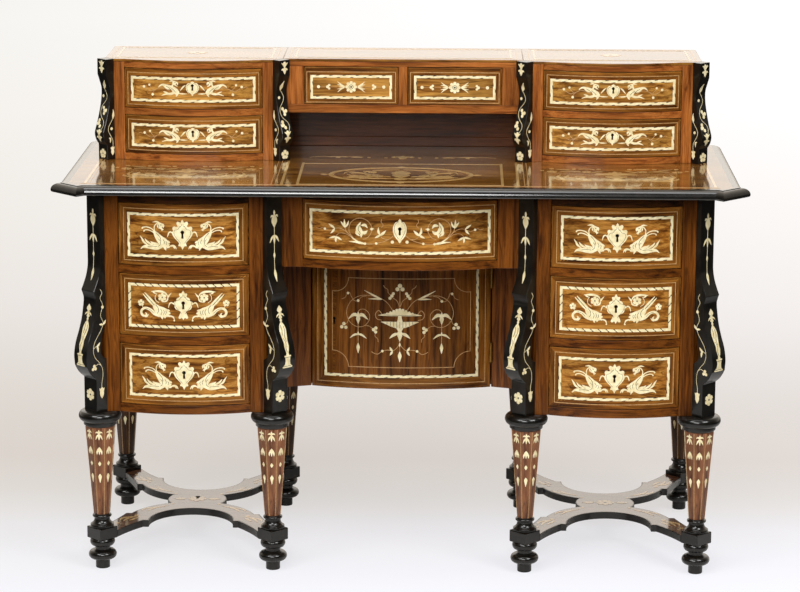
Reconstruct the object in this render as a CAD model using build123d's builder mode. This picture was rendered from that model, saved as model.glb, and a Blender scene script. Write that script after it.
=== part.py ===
"""Bureau mazarin: a kneehole writing desk on eight turned legs, with a gradin of small drawers on top.

Units are millimetres. X runs along the desk, -Y is the sitter's side and Z is up. The origin is on
the floor, under the middle of the desk. Every place is worked out from the legs: two rows of four,
a pedestal of three drawers over each group of four legs, and a recessed cupboard between them.
"""
from build123d import *

import os
from math import sqrt

os.makedirs("parts", exist_ok=True)

# ---------------------------------------------------------------- driving dimensions
outer_leg_x = 620.0  # middle of the desk to the outer legs' centre lines
inner_leg_x = 263.0  # middle of the desk to the inner legs' centre lines
leg_row_spacing = 470.0  # front legs to back legs
leg_height = 340.0
writing_height = 823.0
gradin_height = 214.0

board_overhang = 74.0  # straight edges of the top, beyond the leg centre lines
ear_reach = 84.0  # diagonal ears of the top, from a front leg's centre along the diagonal
ear_half_width = 42.0
edge_width = 22.0  # ebonised edge moulding, seen from above
top_thickness = 19.5
top_back_overhang = 14.0

side_overhang = 12.0  # pedestal sides and fronts beyond the leg centre lines
cant_leg = 29.0  # a canted corner takes this much off the side and off the front
drawer_half = 134.0  # half width of a pedestal drawer opening
drawer_bow = 24.0
pedestal_drawers = (128.5, 130.5, 130.0)  # opening heights, from the bottom
bottom_rail = 18.0
middle_rail = 17.0
front_thickness = 20.0

frieze_setback = 17.5  # front of the centre frieze, behind the front legs' centre line
frieze_bottom = 642.0
frieze_rail = 17.0
frieze_drawer_half = 199.5
frieze_bow = 33.0
frieze_drawer_height = 126.5

cupboard_setback = 220.0
door_half = 192.5
door_bow = 30.0
door_thickness = 20.0
canted_stile_forward = 20.0  # the flat stiles beside the door come forward this much

gradin_side_overhang = 10.0  # gradin sides beyond the leg centre lines
gradin_setback = 252.0
gradin_back_setback = 455.0
gradin_cant_leg = 21.0
gradin_drawer_half = 145.5
gradin_bow = 26.0
gradin_drawers = (82.0, 85.5)
gradin_rail = 14.5
gradin_centre_setback = gradin_setback + gradin_cant_leg
flat_drawer_half = 100.0
flat_drawer_x = 109.5
flat_drawer_height = 80.5
compartment_height = 99.0
flat_rail = 18.0

carcass_board = 18.0
thin_board = 12.0
reveal = 1.0  # gap round a drawer front
glide = 0.5  # gap under a drawer
drawer_side = 10.0
drawer_bottom = 6.0
drawer_foot = 4.0  # the sides stand this much below the bottom board
drawer_clearance = 3.0  # box narrower than its opening, each side
drawer_headroom = 10.0
drawer_stop = 15.0  # from the back of a drawer to the board behind it
guide_projection = 2.0  # guides stand into the opening, beside the drawer box
guide_height = 14.0

capital_radius = 44.5
stretcher_top = 80.0
stretcher_thickness = 15.0

# ---------------------------------------------------------------- places worked out from them
depth_middle = (leg_row_spacing + capital_radius - (ear_reach + ear_half_width) / sqrt(2)) / 2
front_leg_y = -depth_middle
back_leg_y = front_leg_y + leg_row_spacing
pedestal_x = (outer_leg_x + inner_leg_x) / 2
pedestal_half = (outer_leg_x - inner_leg_x) / 2 + side_overhang
kneehole_half = pedestal_x - pedestal_half
front_y = front_leg_y - side_overhang
back_y = back_leg_y + side_overhang
top_bottom = writing_height - top_thickness
frieze_y = front_leg_y + frieze_setback
cupboard_y = front_leg_y + cupboard_setback
gradin_y = front_leg_y + gradin_setback
gradin_back = front_leg_y + gradin_back_setback
gradin_centre_y = front_leg_y + gradin_centre_setback
gradin_top = writing_height + gradin_height
gradin_half = (outer_leg_x - inner_leg_x) / 2 + gradin_side_overhang
gradin_gap = pedestal_x - gradin_half
sides = {"left": -1, "right": 1}


# ---------------------------------------------------------------- the joiner's shapes
def board(x, y, z):
    """A plain board between three pairs of limits."""
    with BuildPart() as piece:
        with BuildSketch(Plane.XY.offset(z[0])):
            with Locations(((x[0] + x[1]) / 2, (y[0] + y[1]) / 2)):
                Rectangle(abs(x[1] - x[0]), y[1] - y[0])
        extrude(amount=z[1] - z[0])
    return piece.part


def shaped_board(outline, z):
    """A board sawn to an outline in plan."""
    with BuildPart() as piece:
        with BuildSketch(Plane.XY.offset(z[0])):
            with BuildLine():
                Polyline(*outline, close=True)
            make_face()
        extrude(amount=z[1] - z[0])
    return piece.part


def bowed_face_y(offset, half, front, bow):
    """Where a bowed face lies at an offset from its middle."""
    radius = (half**2 + bow**2) / (2 * bow)
    return front - bow + radius - sqrt(radius**2 - offset**2)


def bowed_board(middle, width, half, front, bow, thickness, z):
    """A board with a bowed face and a flat back, as wide as it is asked to be, on the bow of half."""
    end = bowed_face_y(width, half, front, bow)
    back = front + thickness
    with BuildPart() as piece:
        with BuildSketch(Plane.XY.offset(z[0])):
            with BuildLine():
                ThreePointArc((middle - width, end), (middle, front - bow), (middle + width, end))
                Polyline((middle + width, end), (middle + width, back), (middle - width, back),
                         (middle - width, end))
            make_face()
        extrude(amount=z[1] - z[0])
    return piece.part


def group(name, pieces):
    """Several pieces of one material, kept as separate solids in one node."""
    node = Compound(label=name, children=list(pieces))
    export_step(node, f"parts/{name}.step")


def single(name, part):
    """One piece in its own node."""
    part.label = name
    export_step(part, f"parts/{name}.step")


def corner_post(middle, side, half, front, cant, opening, z):
    """A front post: the flat stile beside the drawers and the cant that the pilaster covers."""
    outline = [(opening, front), (half - cant, front), (half, front + cant), (opening, front + cant)]
    return shaped_board([(middle + side * x, y) for x, y in outline], z)


# ---------------------------------------------------------------- drawers
keyhole_radius = 2.2
keyhole_slot = 7.0


def keyhole_front(middle, width, half, front, bow, thickness, z, keyhole_z):
    """A drawer front with a bowed face, pierced for the key."""
    with BuildPart() as piece:
        add(bowed_board(middle, width, half, front, bow, thickness, z))
        with BuildSketch(Plane.XZ.offset(-(front + thickness))):
            with Locations((middle, keyhole_z)):
                Circle(keyhole_radius)
            with Locations((middle, keyhole_z - keyhole_slot / 2)):
                Rectangle(keyhole_radius, keyhole_slot)
        extrude(amount=thickness + bow + 1, mode=Mode.SUBTRACT)
    return piece.part


def drawer_box(middle, width, front, back, z):
    """Sides, back and bottom of a drawer, open at the top; the front closes it."""
    low, high = z
    inside = width - drawer_side
    floor = low + drawer_foot
    return [
        board((middle - width, middle - inside), (front, back), z),
        board((middle + inside, middle + width), (front, back), z),
        board((middle - inside, middle + inside), (back - drawer_side, back), (floor + drawer_bottom, high)),
        board((middle - inside, middle + inside), (front, back), (floor, floor + drawer_bottom)),
    ]


def lock_case(middle, front, size, keyhole_z):
    """A lock on the back of a front, its keyhole a third of the way up and its bolt drawn in."""
    width, height, thickness = size
    low = keyhole_z - height / 3
    with BuildPart() as piece:
        add(board((middle - width / 2, middle + width / 2), (front, front + thickness), (low, low + height)))
        with BuildSketch(Plane.XZ.offset(-front)):
            with Locations((middle, keyhole_z)):
                Circle(keyhole_radius)
        extrude(amount=-thickness / 2, mode=Mode.SUBTRACT)
    return piece.part


def drawer(name, middle, half, front, bow, opening, thickness, back, lock_size):
    """One drawer in its opening: front, box and, where it locks, the lock."""
    low, high = opening
    keyhole_z = (low + high) / 2 + 1
    front_z = (low + reveal, high - reveal)
    inner_face = front + thickness
    if lock_size:
        single(f"{name}_front",
               keyhole_front(middle, half - reveal, half, front, bow, thickness, front_z, keyhole_z))
        single(f"{name}_lock", lock_case(middle, inner_face, lock_size, keyhole_z))
    else:
        single(f"{name}_front",
               board((middle - half + reveal, middle + half - reveal), (front, inner_face), front_z))
    group(f"{name}_box", drawer_box(middle, half - drawer_clearance, inner_face, back,
                                    (low + glide, high - drawer_headroom)))


# ---------------------------------------------------------------- pedestals
def pedestal_openings():
    """Lowest and highest z of each pedestal drawer opening, from the bottom."""
    openings = []
    low = leg_height + bottom_rail
    for height in pedestal_drawers:
        openings.append((low, low + height))
        low += height + middle_rail
    return openings


openings = pedestal_openings()
pedestal_height = (leg_height, top_bottom)
pedestal_lock = (40.0, 46.0, 12.0)
pedestal_drawer_back = back_y - thin_board - drawer_stop
front_frames = []
for side_name, side in sides.items():
    middle = side * pedestal_x
    inner_x = middle - pedestal_half
    outer_x = middle + pedestal_half
    posts_back = front_y + cant_leg
    carcass = [
        board((inner_x, inner_x + carcass_board), (posts_back, back_y), pedestal_height),
        board((outer_x - carcass_board, outer_x), (posts_back, back_y), pedestal_height),
        board((inner_x + carcass_board, outer_x - carcass_board), (back_y - thin_board, back_y),
              pedestal_height),
    ]
    board_x = (inner_x + carcass_board, outer_x - carcass_board)
    for low, high in openings:
        thickness = bottom_rail if low == openings[0][0] else thin_board
        carcass.append(board(board_x, (posts_back, back_y - thin_board), (low - thickness, low)))
        for guide_side in (-1, 1):
            guide = sorted((middle + guide_side * (drawer_half - guide_projection),
                            middle + guide_side * (pedestal_half - carcass_board)))
            carcass.append(board(guide, (posts_back, pedestal_drawer_back), (low, low + guide_height)))
    group(f"{side_name}_pedestal_carcass", carcass)

    for post_side in (-1, 1):
        front_frames.append(corner_post(middle, post_side, pedestal_half, front_y, cant_leg, drawer_half,
                                        pedestal_height))
    rail_levels = [leg_height] + [high for low, high in openings]
    rail_tops = [low for low, high in openings] + [top_bottom]
    for low, high in zip(rail_levels, rail_tops):
        front_frames.append(bowed_board(middle, drawer_half, drawer_half, front_y, drawer_bow, cant_leg,
                                        (low, high)))
    for level, opening in zip(("bottom", "middle", "top"), openings):
        drawer(f"{side_name}_{level}_drawer", middle, drawer_half, front_y, drawer_bow, opening,
               front_thickness, pedestal_drawer_back, pedestal_lock)
group("pedestal_front_frames", front_frames)

# ---------------------------------------------------------------- kneehole: frieze, drawer and cupboard
frieze_opening = (frieze_bottom + frieze_rail, frieze_bottom + frieze_rail + frieze_drawer_height)
frieze_back = frieze_y + front_thickness
cupboard_back = back_leg_y - thin_board
stile_front = cupboard_y - canted_stile_forward
stile_thickness = 22.0
centre_lock = (46.0, 50.0, 12.0)
kneehole_frame = [
    bowed_board(0, frieze_drawer_half, frieze_drawer_half, frieze_y, frieze_bow, front_thickness,
                (frieze_bottom, frieze_opening[0])),
    bowed_board(0, frieze_drawer_half, frieze_drawer_half, frieze_y, frieze_bow, front_thickness,
                (frieze_opening[1], top_bottom)),
]
for side in sides.values():
    stile_x = sorted((side * frieze_drawer_half, side * kneehole_half))
    kneehole_frame.append(board(stile_x, (frieze_y, frieze_back), (frieze_bottom, top_bottom)))
    canted_stile = [(door_half, cupboard_y), (kneehole_half, stile_front),
                    (kneehole_half, stile_front + stile_thickness), (door_half, cupboard_y + stile_thickness)]
    kneehole_frame.append(shaped_board([(side * x, y) for x, y in canted_stile], (leg_height, frieze_bottom)))
group("kneehole_front_frame", kneehole_frame)

kneehole_x = (-kneehole_half, kneehole_half)
cupboard_front = cupboard_y + stile_thickness
kneehole_boards = [
    board(kneehole_x, (frieze_back, cupboard_back), (frieze_bottom, frieze_opening[0])),
    board(kneehole_x, (cupboard_back, back_leg_y), (leg_height, top_bottom)),
    board(kneehole_x, (cupboard_front, cupboard_back), (leg_height, leg_height + thin_board)),
]
for side in sides.values():
    guide = sorted((side * (frieze_drawer_half - guide_projection), side * kneehole_half))
    kneehole_boards.append(board(guide, (frieze_back, cupboard_back - drawer_stop),
                                 (frieze_opening[0], frieze_opening[0] + guide_height)))
group("kneehole_carcass", kneehole_boards)
drawer("centre_drawer", 0, frieze_drawer_half, frieze_y, frieze_bow, frieze_opening, front_thickness,
       cupboard_back - drawer_stop, centre_lock)

# ---------------------------------------------------------------- cupboard door, hinges and lock
door_low = leg_height
door_high = frieze_bottom - 2.0
door_left = -door_half + 1.5
hinge_gap = 2.4
door_right = door_half - hinge_gap
door_keyhole = (-143.0, 489.0)


def door_edge(x, inset):
    """A point of the door's outer face, or of its inner face one thickness further in."""
    radius = (door_half**2 + door_bow**2) / (2 * door_bow)
    centre_y = cupboard_y - door_bow + radius
    return (x, centre_y - sqrt((radius - inset)**2 - x**2))


with BuildPart() as door_panel:
    with BuildSketch(Plane.XY.offset(door_low)):
        with BuildLine():
            ThreePointArc(door_edge(door_left, 0), door_edge(0, 0), door_edge(door_right, 0))
            Line(door_edge(door_right, 0), door_edge(door_right, door_thickness))
            ThreePointArc(door_edge(door_right, door_thickness), door_edge(0, door_thickness),
                          door_edge(door_left, door_thickness))
            Line(door_edge(door_left, door_thickness), door_edge(door_left, 0))
        make_face()
    extrude(amount=door_high - door_low)
    keyhole_x, keyhole_z = door_keyhole
    with BuildSketch(Plane.XZ.offset(-(cupboard_y + door_thickness))):
        with Locations((keyhole_x, keyhole_z)):
            Circle(keyhole_radius)
        with Locations((keyhole_x, keyhole_z - keyhole_slot / 2)):
            Rectangle(keyhole_radius, keyhole_slot)
    extrude(amount=door_thickness + door_bow, mode=Mode.SUBTRACT)
single("door_panel", door_panel.part)

lock_width = 60.0
lock_height = 56.0
lock_left = door_left + 3
lock_back = cupboard_y + door_thickness + 8
with BuildPart() as door_lock:
    add(board((lock_left, lock_left + lock_width), (lock_back - door_bow, lock_back),
              (keyhole_z - lock_height / 2, keyhole_z + lock_height / 2)))
    with BuildSketch(Plane.XY.offset(door_low)):
        with BuildLine():
            ThreePointArc(door_edge(door_left, -door_bow), door_edge(0, -door_bow),
                          door_edge(door_right, -door_bow))
            Line(door_edge(door_right, -door_bow), door_edge(door_right, door_thickness))
            ThreePointArc(door_edge(door_right, door_thickness), door_edge(0, door_thickness),
                          door_edge(door_left, door_thickness))
            Line(door_edge(door_left, door_thickness), door_edge(door_left, -door_bow))
        make_face()
    extrude(amount=door_high - door_low, mode=Mode.SUBTRACT)
single("door_lock", door_lock.part)

knuckle_radius = 3.0
pin_radius = 1.5
pin_clearance = 0.05
leaf = 0.9
leaf_depth = 18.0
knuckle_length = 14.0
knuckle_gap = 0.3
knuckle_proud = 0.8  # the barrels stand this much clear of the door's edge
hinge_x = door_half - hinge_gap / 2
hinge_y = door_edge(door_right, 0)[1] - knuckle_radius - knuckle_proud
hinge_inset = 70.0
hinge_levels = (leg_height + hinge_inset, frieze_bottom - hinge_inset)


def leaf_plate(x, z, height):
    """A hinge leaf let into an edge, reaching forward to the barrels."""
    return board(x, (hinge_y + knuckle_radius / 2, hinge_y + leaf_depth), (z, z + height))


door_leaves = []
frame_leaves = []
for level in hinge_levels:
    with BuildPart() as door_leaf:
        add(leaf_plate((door_right, door_right + leaf), level, knuckle_length))
        with BuildSketch(Plane.XY.offset(level)):
            with Locations((hinge_x, hinge_y)):
                Circle(knuckle_radius)
        extrude(amount=knuckle_length)
        with BuildSketch(Plane.XY.offset(level)):
            with Locations((hinge_x, hinge_y)):
                Circle(pin_radius + pin_clearance)
        extrude(amount=knuckle_length, mode=Mode.SUBTRACT)
    door_leaves.append(door_leaf.part)
    span = 3 * knuckle_length + 2 * knuckle_gap
    low = level - knuckle_length - knuckle_gap
    with BuildPart() as frame_leaf:
        for barrel_z in (low, level + knuckle_length + knuckle_gap):
            add(leaf_plate((door_half - leaf, door_half), barrel_z, knuckle_length))
            with BuildSketch(Plane.XY.offset(barrel_z)):
                with Locations((hinge_x, hinge_y)):
                    Circle(knuckle_radius)
            extrude(amount=knuckle_length)
        with BuildSketch(Plane.XY.offset(low)):
            with Locations((hinge_x, hinge_y)):
                Circle(pin_radius)
        extrude(amount=span)
        back_plate_y = (hinge_y + knuckle_radius + 1, hinge_y + leaf_depth)
        add(board((door_half - leaf, door_half), back_plate_y, (low, low + span)))
    frame_leaves.append(frame_leaf.part)
group("door_leaves", door_leaves)
group("door_frame_leaves", frame_leaves)


# ---------------------------------------------------------------- writing top and its edge moulding
def ear_outline(straight, reach, half_width):
    """Corner of the top round a front leg, as offsets outwards along the desk and towards the sitter."""
    root = straight - half_width * sqrt(2)
    near = (reach - half_width) / sqrt(2)
    far = (reach + half_width) / sqrt(2)
    return [(root, straight), (near, far), (far, near), (straight, root)]


def right_edge(straight, reach, half_width):
    """Right half of the top's outline, from the front ear's root round to the back."""
    corner = [(outer_leg_x + u, front_leg_y - v) for u, v in ear_outline(straight, reach, half_width)]
    return corner + [(outer_leg_x + straight, back_leg_y + top_back_overhang)]


outer_edge = right_edge(board_overhang, ear_reach, ear_half_width)
inner_edge = right_edge(board_overhang - edge_width, ear_reach - edge_width, ear_half_width - edge_width)
field = inner_edge + [(-x, y) for x, y in reversed(inner_edge)]
single("writing_top", shaped_board(field, (top_bottom, writing_height)))

nose = 5.5
chamfer_under = 3.0
top_flat = 6.0
mitre_spare = 40.0


def edge_length(start, end, inner_start, inner_end):
    """A mitred length of the thumb moulding between two corners of the top's outline."""
    along = (Vector(*end) - Vector(*start)).normalized()
    outward = along.cross(Vector(0, 0, 1))
    run = (Vector(*end) - Vector(*start)).length
    foot = Vector(*start, top_bottom) - outward * edge_width - along * mitre_spare
    section = Plane(origin=foot, x_dir=outward, z_dir=-along)
    with BuildPart() as piece:
        with BuildSketch(section):
            with BuildLine():
                Polyline((top_flat, top_thickness), (0, top_thickness), (0, 0),
                         (edge_width - chamfer_under, 0), (edge_width, chamfer_under), (edge_width, nose))
                RadiusArc((edge_width, nose), (top_flat, top_thickness),
                          -(edge_width - top_flat + top_thickness - nose) / 2)
            make_face()
        extrude(amount=-(run + 2 * mitre_spare))
        with BuildSketch(Plane.XY.offset(top_bottom)):
            with BuildLine():
                Polyline(start, end, inner_end, inner_start, close=True)
            make_face()
        extrude(amount=top_thickness, mode=Mode.INTERSECT)
    return piece.part


def mirrored(point):
    """The same point on the other side of the desk."""
    return (-point[0], point[1])


edge_pieces = [edge_length(mirrored(outer_edge[0]), outer_edge[0], mirrored(inner_edge[0]), inner_edge[0])]
for start, end, inner_start, inner_end in zip(outer_edge, outer_edge[1:], inner_edge, inner_edge[1:]):
    edge_pieces.append(edge_length(start, end, inner_start, inner_end))
    edge_pieces.append(edge_length(mirrored(end), mirrored(start), mirrored(inner_end), mirrored(inner_start)))
group("top_edge_moulding", edge_pieces)


# ---------------------------------------------------------------- scroll pilasters on the canted corners
def corner_plane(x, y, side, toward_middle):
    """Upright plane through a canted corner's middle, its local x pointing out along the diagonal."""
    outward = Vector(-side if toward_middle else side, -1, 0).normalized()
    return Plane(origin=(x, y, 0), x_dir=outward, z_dir=outward.cross(Vector(0, 0, 1)))


lower_width = cant_leg * sqrt(2)
flare_tip_z = 596.0
neck_z = 573.0
belly_z = 466.0
block_top = 412.0


def lower_pilaster(plane):
    """Scroll console: straight head, flared lip, long belly curling under, and a plain base block."""
    with BuildPart() as piece:
        with BuildSketch(plane):
            with BuildLine():
                Polyline((0, 530), (0, top_bottom), (13, top_bottom), (13, 665))
                Spline((13, 665), (18, 628), (31, flare_tip_z), tangents=((0, -1), (0.8, -1)))
                Spline((31, flare_tip_z), (25.5, neck_z + 6), (30, 545), (45, 500), (53, belly_z),
                       (46, 430), (28, block_top), tangents=((-0.7, -1), (-1, -0.35)))
                Polyline((28, block_top), (28, leg_height), (0, leg_height), (0, 452))
                Spline((0, 452), (14, 458), (17, 480), (0, 530), tangents=((1, 0.15), (-0.15, 1)))
            make_face()
        extrude(amount=lower_width / 2, both=True)
    return piece.part


gradin_width = gradin_cant_leg * sqrt(2)


def gradin_pilaster(plane):
    """Small scroll console of the gradin: block, hollow neck, belly and base block."""
    base = writing_height
    with BuildPart() as piece:
        with BuildSketch(plane):
            with BuildLine():
                Polyline((0, base), (0, gradin_top), (21, gradin_top), (21, base + 181))
                Spline((21, base + 181), (10, base + 145), (22, base + 85), (31, base + 56),
                       (21, base + 32), tangents=((-0.45, -1), (-1, -0.6)))
                Polyline((21, base + 32), (21, base), (0, base))
            make_face()
        extrude(amount=gradin_width / 2, both=True)
    return piece.part


def corner_planes(half, front, cant):
    """The four diagonal planes at the front corners of two cases standing over the pedestals."""
    planes = []
    for side in sides.values():
        for toward_middle in (True, False):
            edge = half - cant / 2
            x = side * (pedestal_x - edge if toward_middle else pedestal_x + edge)
            planes.append(corner_plane(x, front + cant / 2, side, toward_middle))
    return planes


group("lower_pilasters", [lower_pilaster(p) for p in corner_planes(pedestal_half, front_y, cant_leg)])
group("gradin_pilasters", [gradin_pilaster(p) for p in corner_planes(gradin_half, gradin_y, gradin_cant_leg)])

# ---------------------------------------------------------------- legs
leg_places = [(side * x, y) for side in sides.values() for x in (inner_leg_x, outer_leg_x)
              for y in (front_leg_y, back_leg_y)]
foot_top = 64.0
block_size = 46.0
block_height = 25.0
shaft_bottom = 118.0
shaft_top = 308.0
shaft_flats = (32.5, 60.0)  # across the flats of the octagon, at the bottom and at the top


def turned(place, outline):
    """A piece turned on the lathe about a leg's centre line: outline is radius and height."""
    with BuildPart() as piece:
        with BuildSketch(Plane.XZ):
            add(outline)
            make_face()
        revolve(axis=Axis.Z)
    return piece.part.locate(Location((place[0], place[1], 0)))


with BuildLine(mode=Mode.PRIVATE) as foot_outline:
    Polyline((24, foot_top), (0, foot_top), (0, 0), (14.8, 0), (14.8, 17), (21, 19.5))
    ThreePointArc((21, 19.5), (29.3, 28.5), (21, 38.5))
    Polyline((21, 38.5), (15.5, 41), (15.5, 47), (23, 50))
    ThreePointArc((23, 50), (26, 56), (24, foot_top))

with BuildLine(mode=Mode.PRIVATE) as bell_outline:
    bell_base = foot_top + block_height
    Polyline((21.5, bell_base), (0, bell_base), (0, shaft_bottom), (16, shaft_bottom), (16, 116.5))
    ThreePointArc((16, 116.5), (20, 113), (16, 109.5))
    Line((16, 109.5), (16, 107))
    ThreePointArc((16, 107), (19.5, 98.5), (24.5, 94.5))
    Line((24.5, 94.5), (24.5, bell_base + 1.5))
    Line((24.5, bell_base + 1.5), (21.5, bell_base))

with BuildLine(mode=Mode.PRIVATE) as capital_outline:
    torus_low = shaft_top + 11
    Polyline((0, shaft_top), (31, shaft_top), (34.5, shaft_top + 3), (34.5, torus_low), (38, torus_low))
    ThreePointArc((38, torus_low), (capital_radius, (torus_low + leg_height) / 2), (38, leg_height))
    Polyline((38, leg_height), (0, leg_height), (0, shaft_top))


def leg_block(place):
    """Square block set diagonally, which the stretcher meets, with the turned bell and ring above it."""
    with BuildPart() as piece:
        with BuildSketch(Plane.XY.offset(foot_top)):
            with Locations(place):
                Rectangle(block_size, block_size, rotation=45)
        extrude(amount=block_height)
        chamfer(piece.edges().filter_by(GeomType.LINE).group_by(Axis.Z)[-1], 1.5)
        add(turned(place, bell_outline.line))
    return piece.part


def octagonal_shaft(place):
    """Tapered octagonal shaft, narrow end down, a flat towards the sitter."""
    with BuildPart() as piece:
        for z, flats in ((shaft_bottom, shaft_flats[0]), (shaft_top, shaft_flats[1])):
            with BuildSketch(Plane.XY.offset(z)):
                with Locations(place):
                    RegularPolygon(flats / 2, 8, major_radius=False)
        loft()
    return piece.part


group("bun_feet", [turned(place, foot_outline.line) for place in leg_places])
group("leg_blocks", [leg_block(place) for place in leg_places])
group("leg_shafts", [octagonal_shaft(place) for place in leg_places])
group("leg_capitals", [turned(place, capital_outline.line) for place in leg_places])

# ---------------------------------------------------------------- x stretchers
medallion_radius = 63.5
arch_centre = 160.0  # centre of each pair of arms' arch, from the middle of the stretcher
arch_inner = 89.0
arch_outer = 140.0
nib = 11.5
arm_step = arch_centre + 3
outer_step = 110.0


def x_stretcher(middle):
    """Stretcher between four legs: a round medallion between two arches, their ends stepped and splayed."""
    across = (outer_leg_x - inner_leg_x) / 2
    along = leg_row_spacing / 2
    face = block_size / 2 * sqrt(2)
    meet_y = (medallion_radius**2 + arch_centre**2 - arch_outer**2) / (2 * arch_centre)
    meet_x = sqrt(medallion_radius**2 - meet_y**2)
    outer_x = sqrt(arch_outer**2 - (arch_centre - outer_step)**2)
    crown = (0, -(arch_centre - arch_inner))
    block_front = (across - face, -along)
    block_side = (across, -(along - face))
    with BuildPart() as piece:
        with BuildSketch(Plane((middle, (front_leg_y + back_leg_y) / 2, stretcher_top - stretcher_thickness))):
            with BuildLine():
                CenterArc((0, -arch_centre), arch_inner, 0, 90)
                Polyline((arch_inner, -arch_centre), (arch_inner, -arm_step), (arch_inner + nib, -arm_step))
                SagittaArc((arch_inner + nib, -arm_step), block_front, 2.5)
                Line(block_front, block_side)
                SagittaArc(block_side, (outer_x + nib, -outer_step), 2.5)
                Line((outer_x + nib, -outer_step), (outer_x, -outer_step))
                RadiusArc((outer_x, -outer_step), (meet_x, -meet_y), arch_outer)
                RadiusArc((meet_x, -meet_y), (medallion_radius, 0), medallion_radius)
                Polyline((medallion_radius, 0), (0, 0), crown)
            make_face()
            mirror(about=Plane.YZ)
            mirror(about=Plane.XZ)
        extrude(amount=stretcher_thickness)
    return piece.part


for side_name, side in sides.items():
    single(f"{side_name}_x_stretcher", x_stretcher(side * pedestal_x))

# ---------------------------------------------------------------- gradin
gradin_levels = []
level_low = writing_height + gradin_rail
gradin_drawer_stop = 12.0
for height in gradin_drawers:
    gradin_levels.append((level_low, level_low + height))
    level_low += height + gradin_rail
gradin_board = 12.0
dust_board = 8.0
gradin_front_thickness = 16.0
top_board = 6.0
case_height = (writing_height, gradin_top - top_board)
gradin_lock = (30.0, 34.0, 9.0)
flat_opening = (writing_height + compartment_height + flat_rail,
                writing_height + compartment_height + flat_rail + flat_drawer_height)
centre_back = gradin_centre_y + gradin_front_thickness
gradin_drawer_back = gradin_back - dust_board - gradin_drawer_stop


def case_top(middle):
    """Top board of a gradin side case: bowed over the drawers and canted behind the pilasters."""
    half = gradin_half
    opening = gradin_drawer_half
    with BuildPart() as piece:
        with BuildSketch(Plane.XY.offset(case_height[1])):
            with BuildLine():
                ThreePointArc((middle - opening, gradin_y), (middle, gradin_y - gradin_bow),
                              (middle + opening, gradin_y))
                Polyline((middle + opening, gradin_y), (middle + half - gradin_cant_leg, gradin_y),
                         (middle + half, gradin_y + gradin_cant_leg), (middle + half, gradin_back),
                         (middle - half, gradin_back), (middle - half, gradin_y + gradin_cant_leg),
                         (middle - half + gradin_cant_leg, gradin_y), (middle - opening, gradin_y))
            make_face()
        extrude(amount=top_board)
    return piece.part


case_boards = []
gradin_frames = []
top_boards = []
for side_name, side in sides.items():
    middle = side * pedestal_x
    inner_x = middle - gradin_half
    outer_x = middle + gradin_half
    posts_back = gradin_y + gradin_cant_leg
    inside_x = (inner_x + gradin_board, outer_x - gradin_board)
    for x in ((inner_x, inner_x + gradin_board), (outer_x - gradin_board, outer_x)):
        case_boards.append(board(x, (posts_back, gradin_back), case_height))
    case_boards.append(board(inside_x, (gradin_back - dust_board, gradin_back), case_height))
    for low, high in gradin_levels:
        thickness = gradin_rail if low == gradin_levels[0][0] else dust_board
        case_boards.append(board(inside_x, (posts_back, gradin_back - dust_board), (low - thickness, low)))
    for post_side in (-1, 1):
        gradin_frames.append(corner_post(middle, post_side, gradin_half, gradin_y, gradin_cant_leg,
                                         gradin_drawer_half, case_height))
    rail_levels = [writing_height] + [high for low, high in gradin_levels]
    rail_tops = [low for low, high in gradin_levels] + [case_height[1]]
    for low, high in zip(rail_levels, rail_tops):
        gradin_frames.append(bowed_board(middle, gradin_drawer_half, gradin_drawer_half, gradin_y, gradin_bow,
                                         gradin_cant_leg, (low, high)))
    top_boards.append(case_top(middle))
    for level, opening in zip(("lower", "upper"), gradin_levels):
        drawer(f"gradin_{side_name}_{level}_drawer", middle, gradin_drawer_half, gradin_y, gradin_bow, opening,
               gradin_front_thickness, gradin_drawer_back, gradin_lock)
group("gradin_side_carcasses", case_boards)

stile_half = flat_drawer_x - flat_drawer_half
stile_edge = flat_drawer_x + flat_drawer_half
centre_x = (-gradin_gap, gradin_gap)
flat_y = (gradin_centre_y, centre_back)
rail_z = (flat_opening[0] - flat_rail, flat_opening[0])
gradin_frames.append(board(centre_x, flat_y, rail_z))
gradin_frames.append(board(centre_x, flat_y, (flat_opening[1], case_height[1])))
for x in ((-gradin_gap, -stile_edge), (-stile_half, stile_half), (stile_edge, gradin_gap)):
    gradin_frames.append(board(x, flat_y, flat_opening))
group("gradin_front_frames", gradin_frames)

centre_boards = [
    board(centre_x, (centre_back, gradin_back - dust_board), (flat_opening[0] - thin_board, flat_opening[0])),
    board(centre_x, (gradin_back - dust_board, gradin_back), case_height),
    board((-stile_half, stile_half), (centre_back, gradin_back - dust_board), (flat_opening[0], case_height[1])),
]
for side in sides.values():
    guide = sorted((side * (stile_edge - guide_projection), side * gradin_gap))
    centre_boards.append(board(guide, (centre_back, gradin_back - dust_board),
                               (flat_opening[0], flat_opening[0] + guide_height)))
group("gradin_centre_carcass", centre_boards)
top_boards.append(board(centre_x, (gradin_centre_y, gradin_back), (case_height[1], gradin_top)))
group("gradin_top_board", top_boards)
for side_name, side in sides.items():
    drawer(f"gradin_centre_{side_name}_drawer", side * flat_drawer_x, flat_drawer_half, gradin_centre_y, 0,
           flat_opening, gradin_front_thickness, gradin_drawer_back, None)
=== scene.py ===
# %% [markdown]
# # A bureau mazarin in Blender
# A bureau mazarin is a writing desk on eight legs, with two banks of drawers, a recessed cupboard
# between them and a small gradin of drawers on top. The joiner's solids come packed as a frame.
# This lesson dresses them: rosewood veneer, ebonised scroll pilasters and turned legs, and inlay
# cut from bone. Every piece is placed in the frame's own coordinates, so nothing is fitted by eye.

# %% Load the frame
import math

import bmesh
import bpy
import numpy as np
from mathutils import Matrix, Vector


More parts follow.
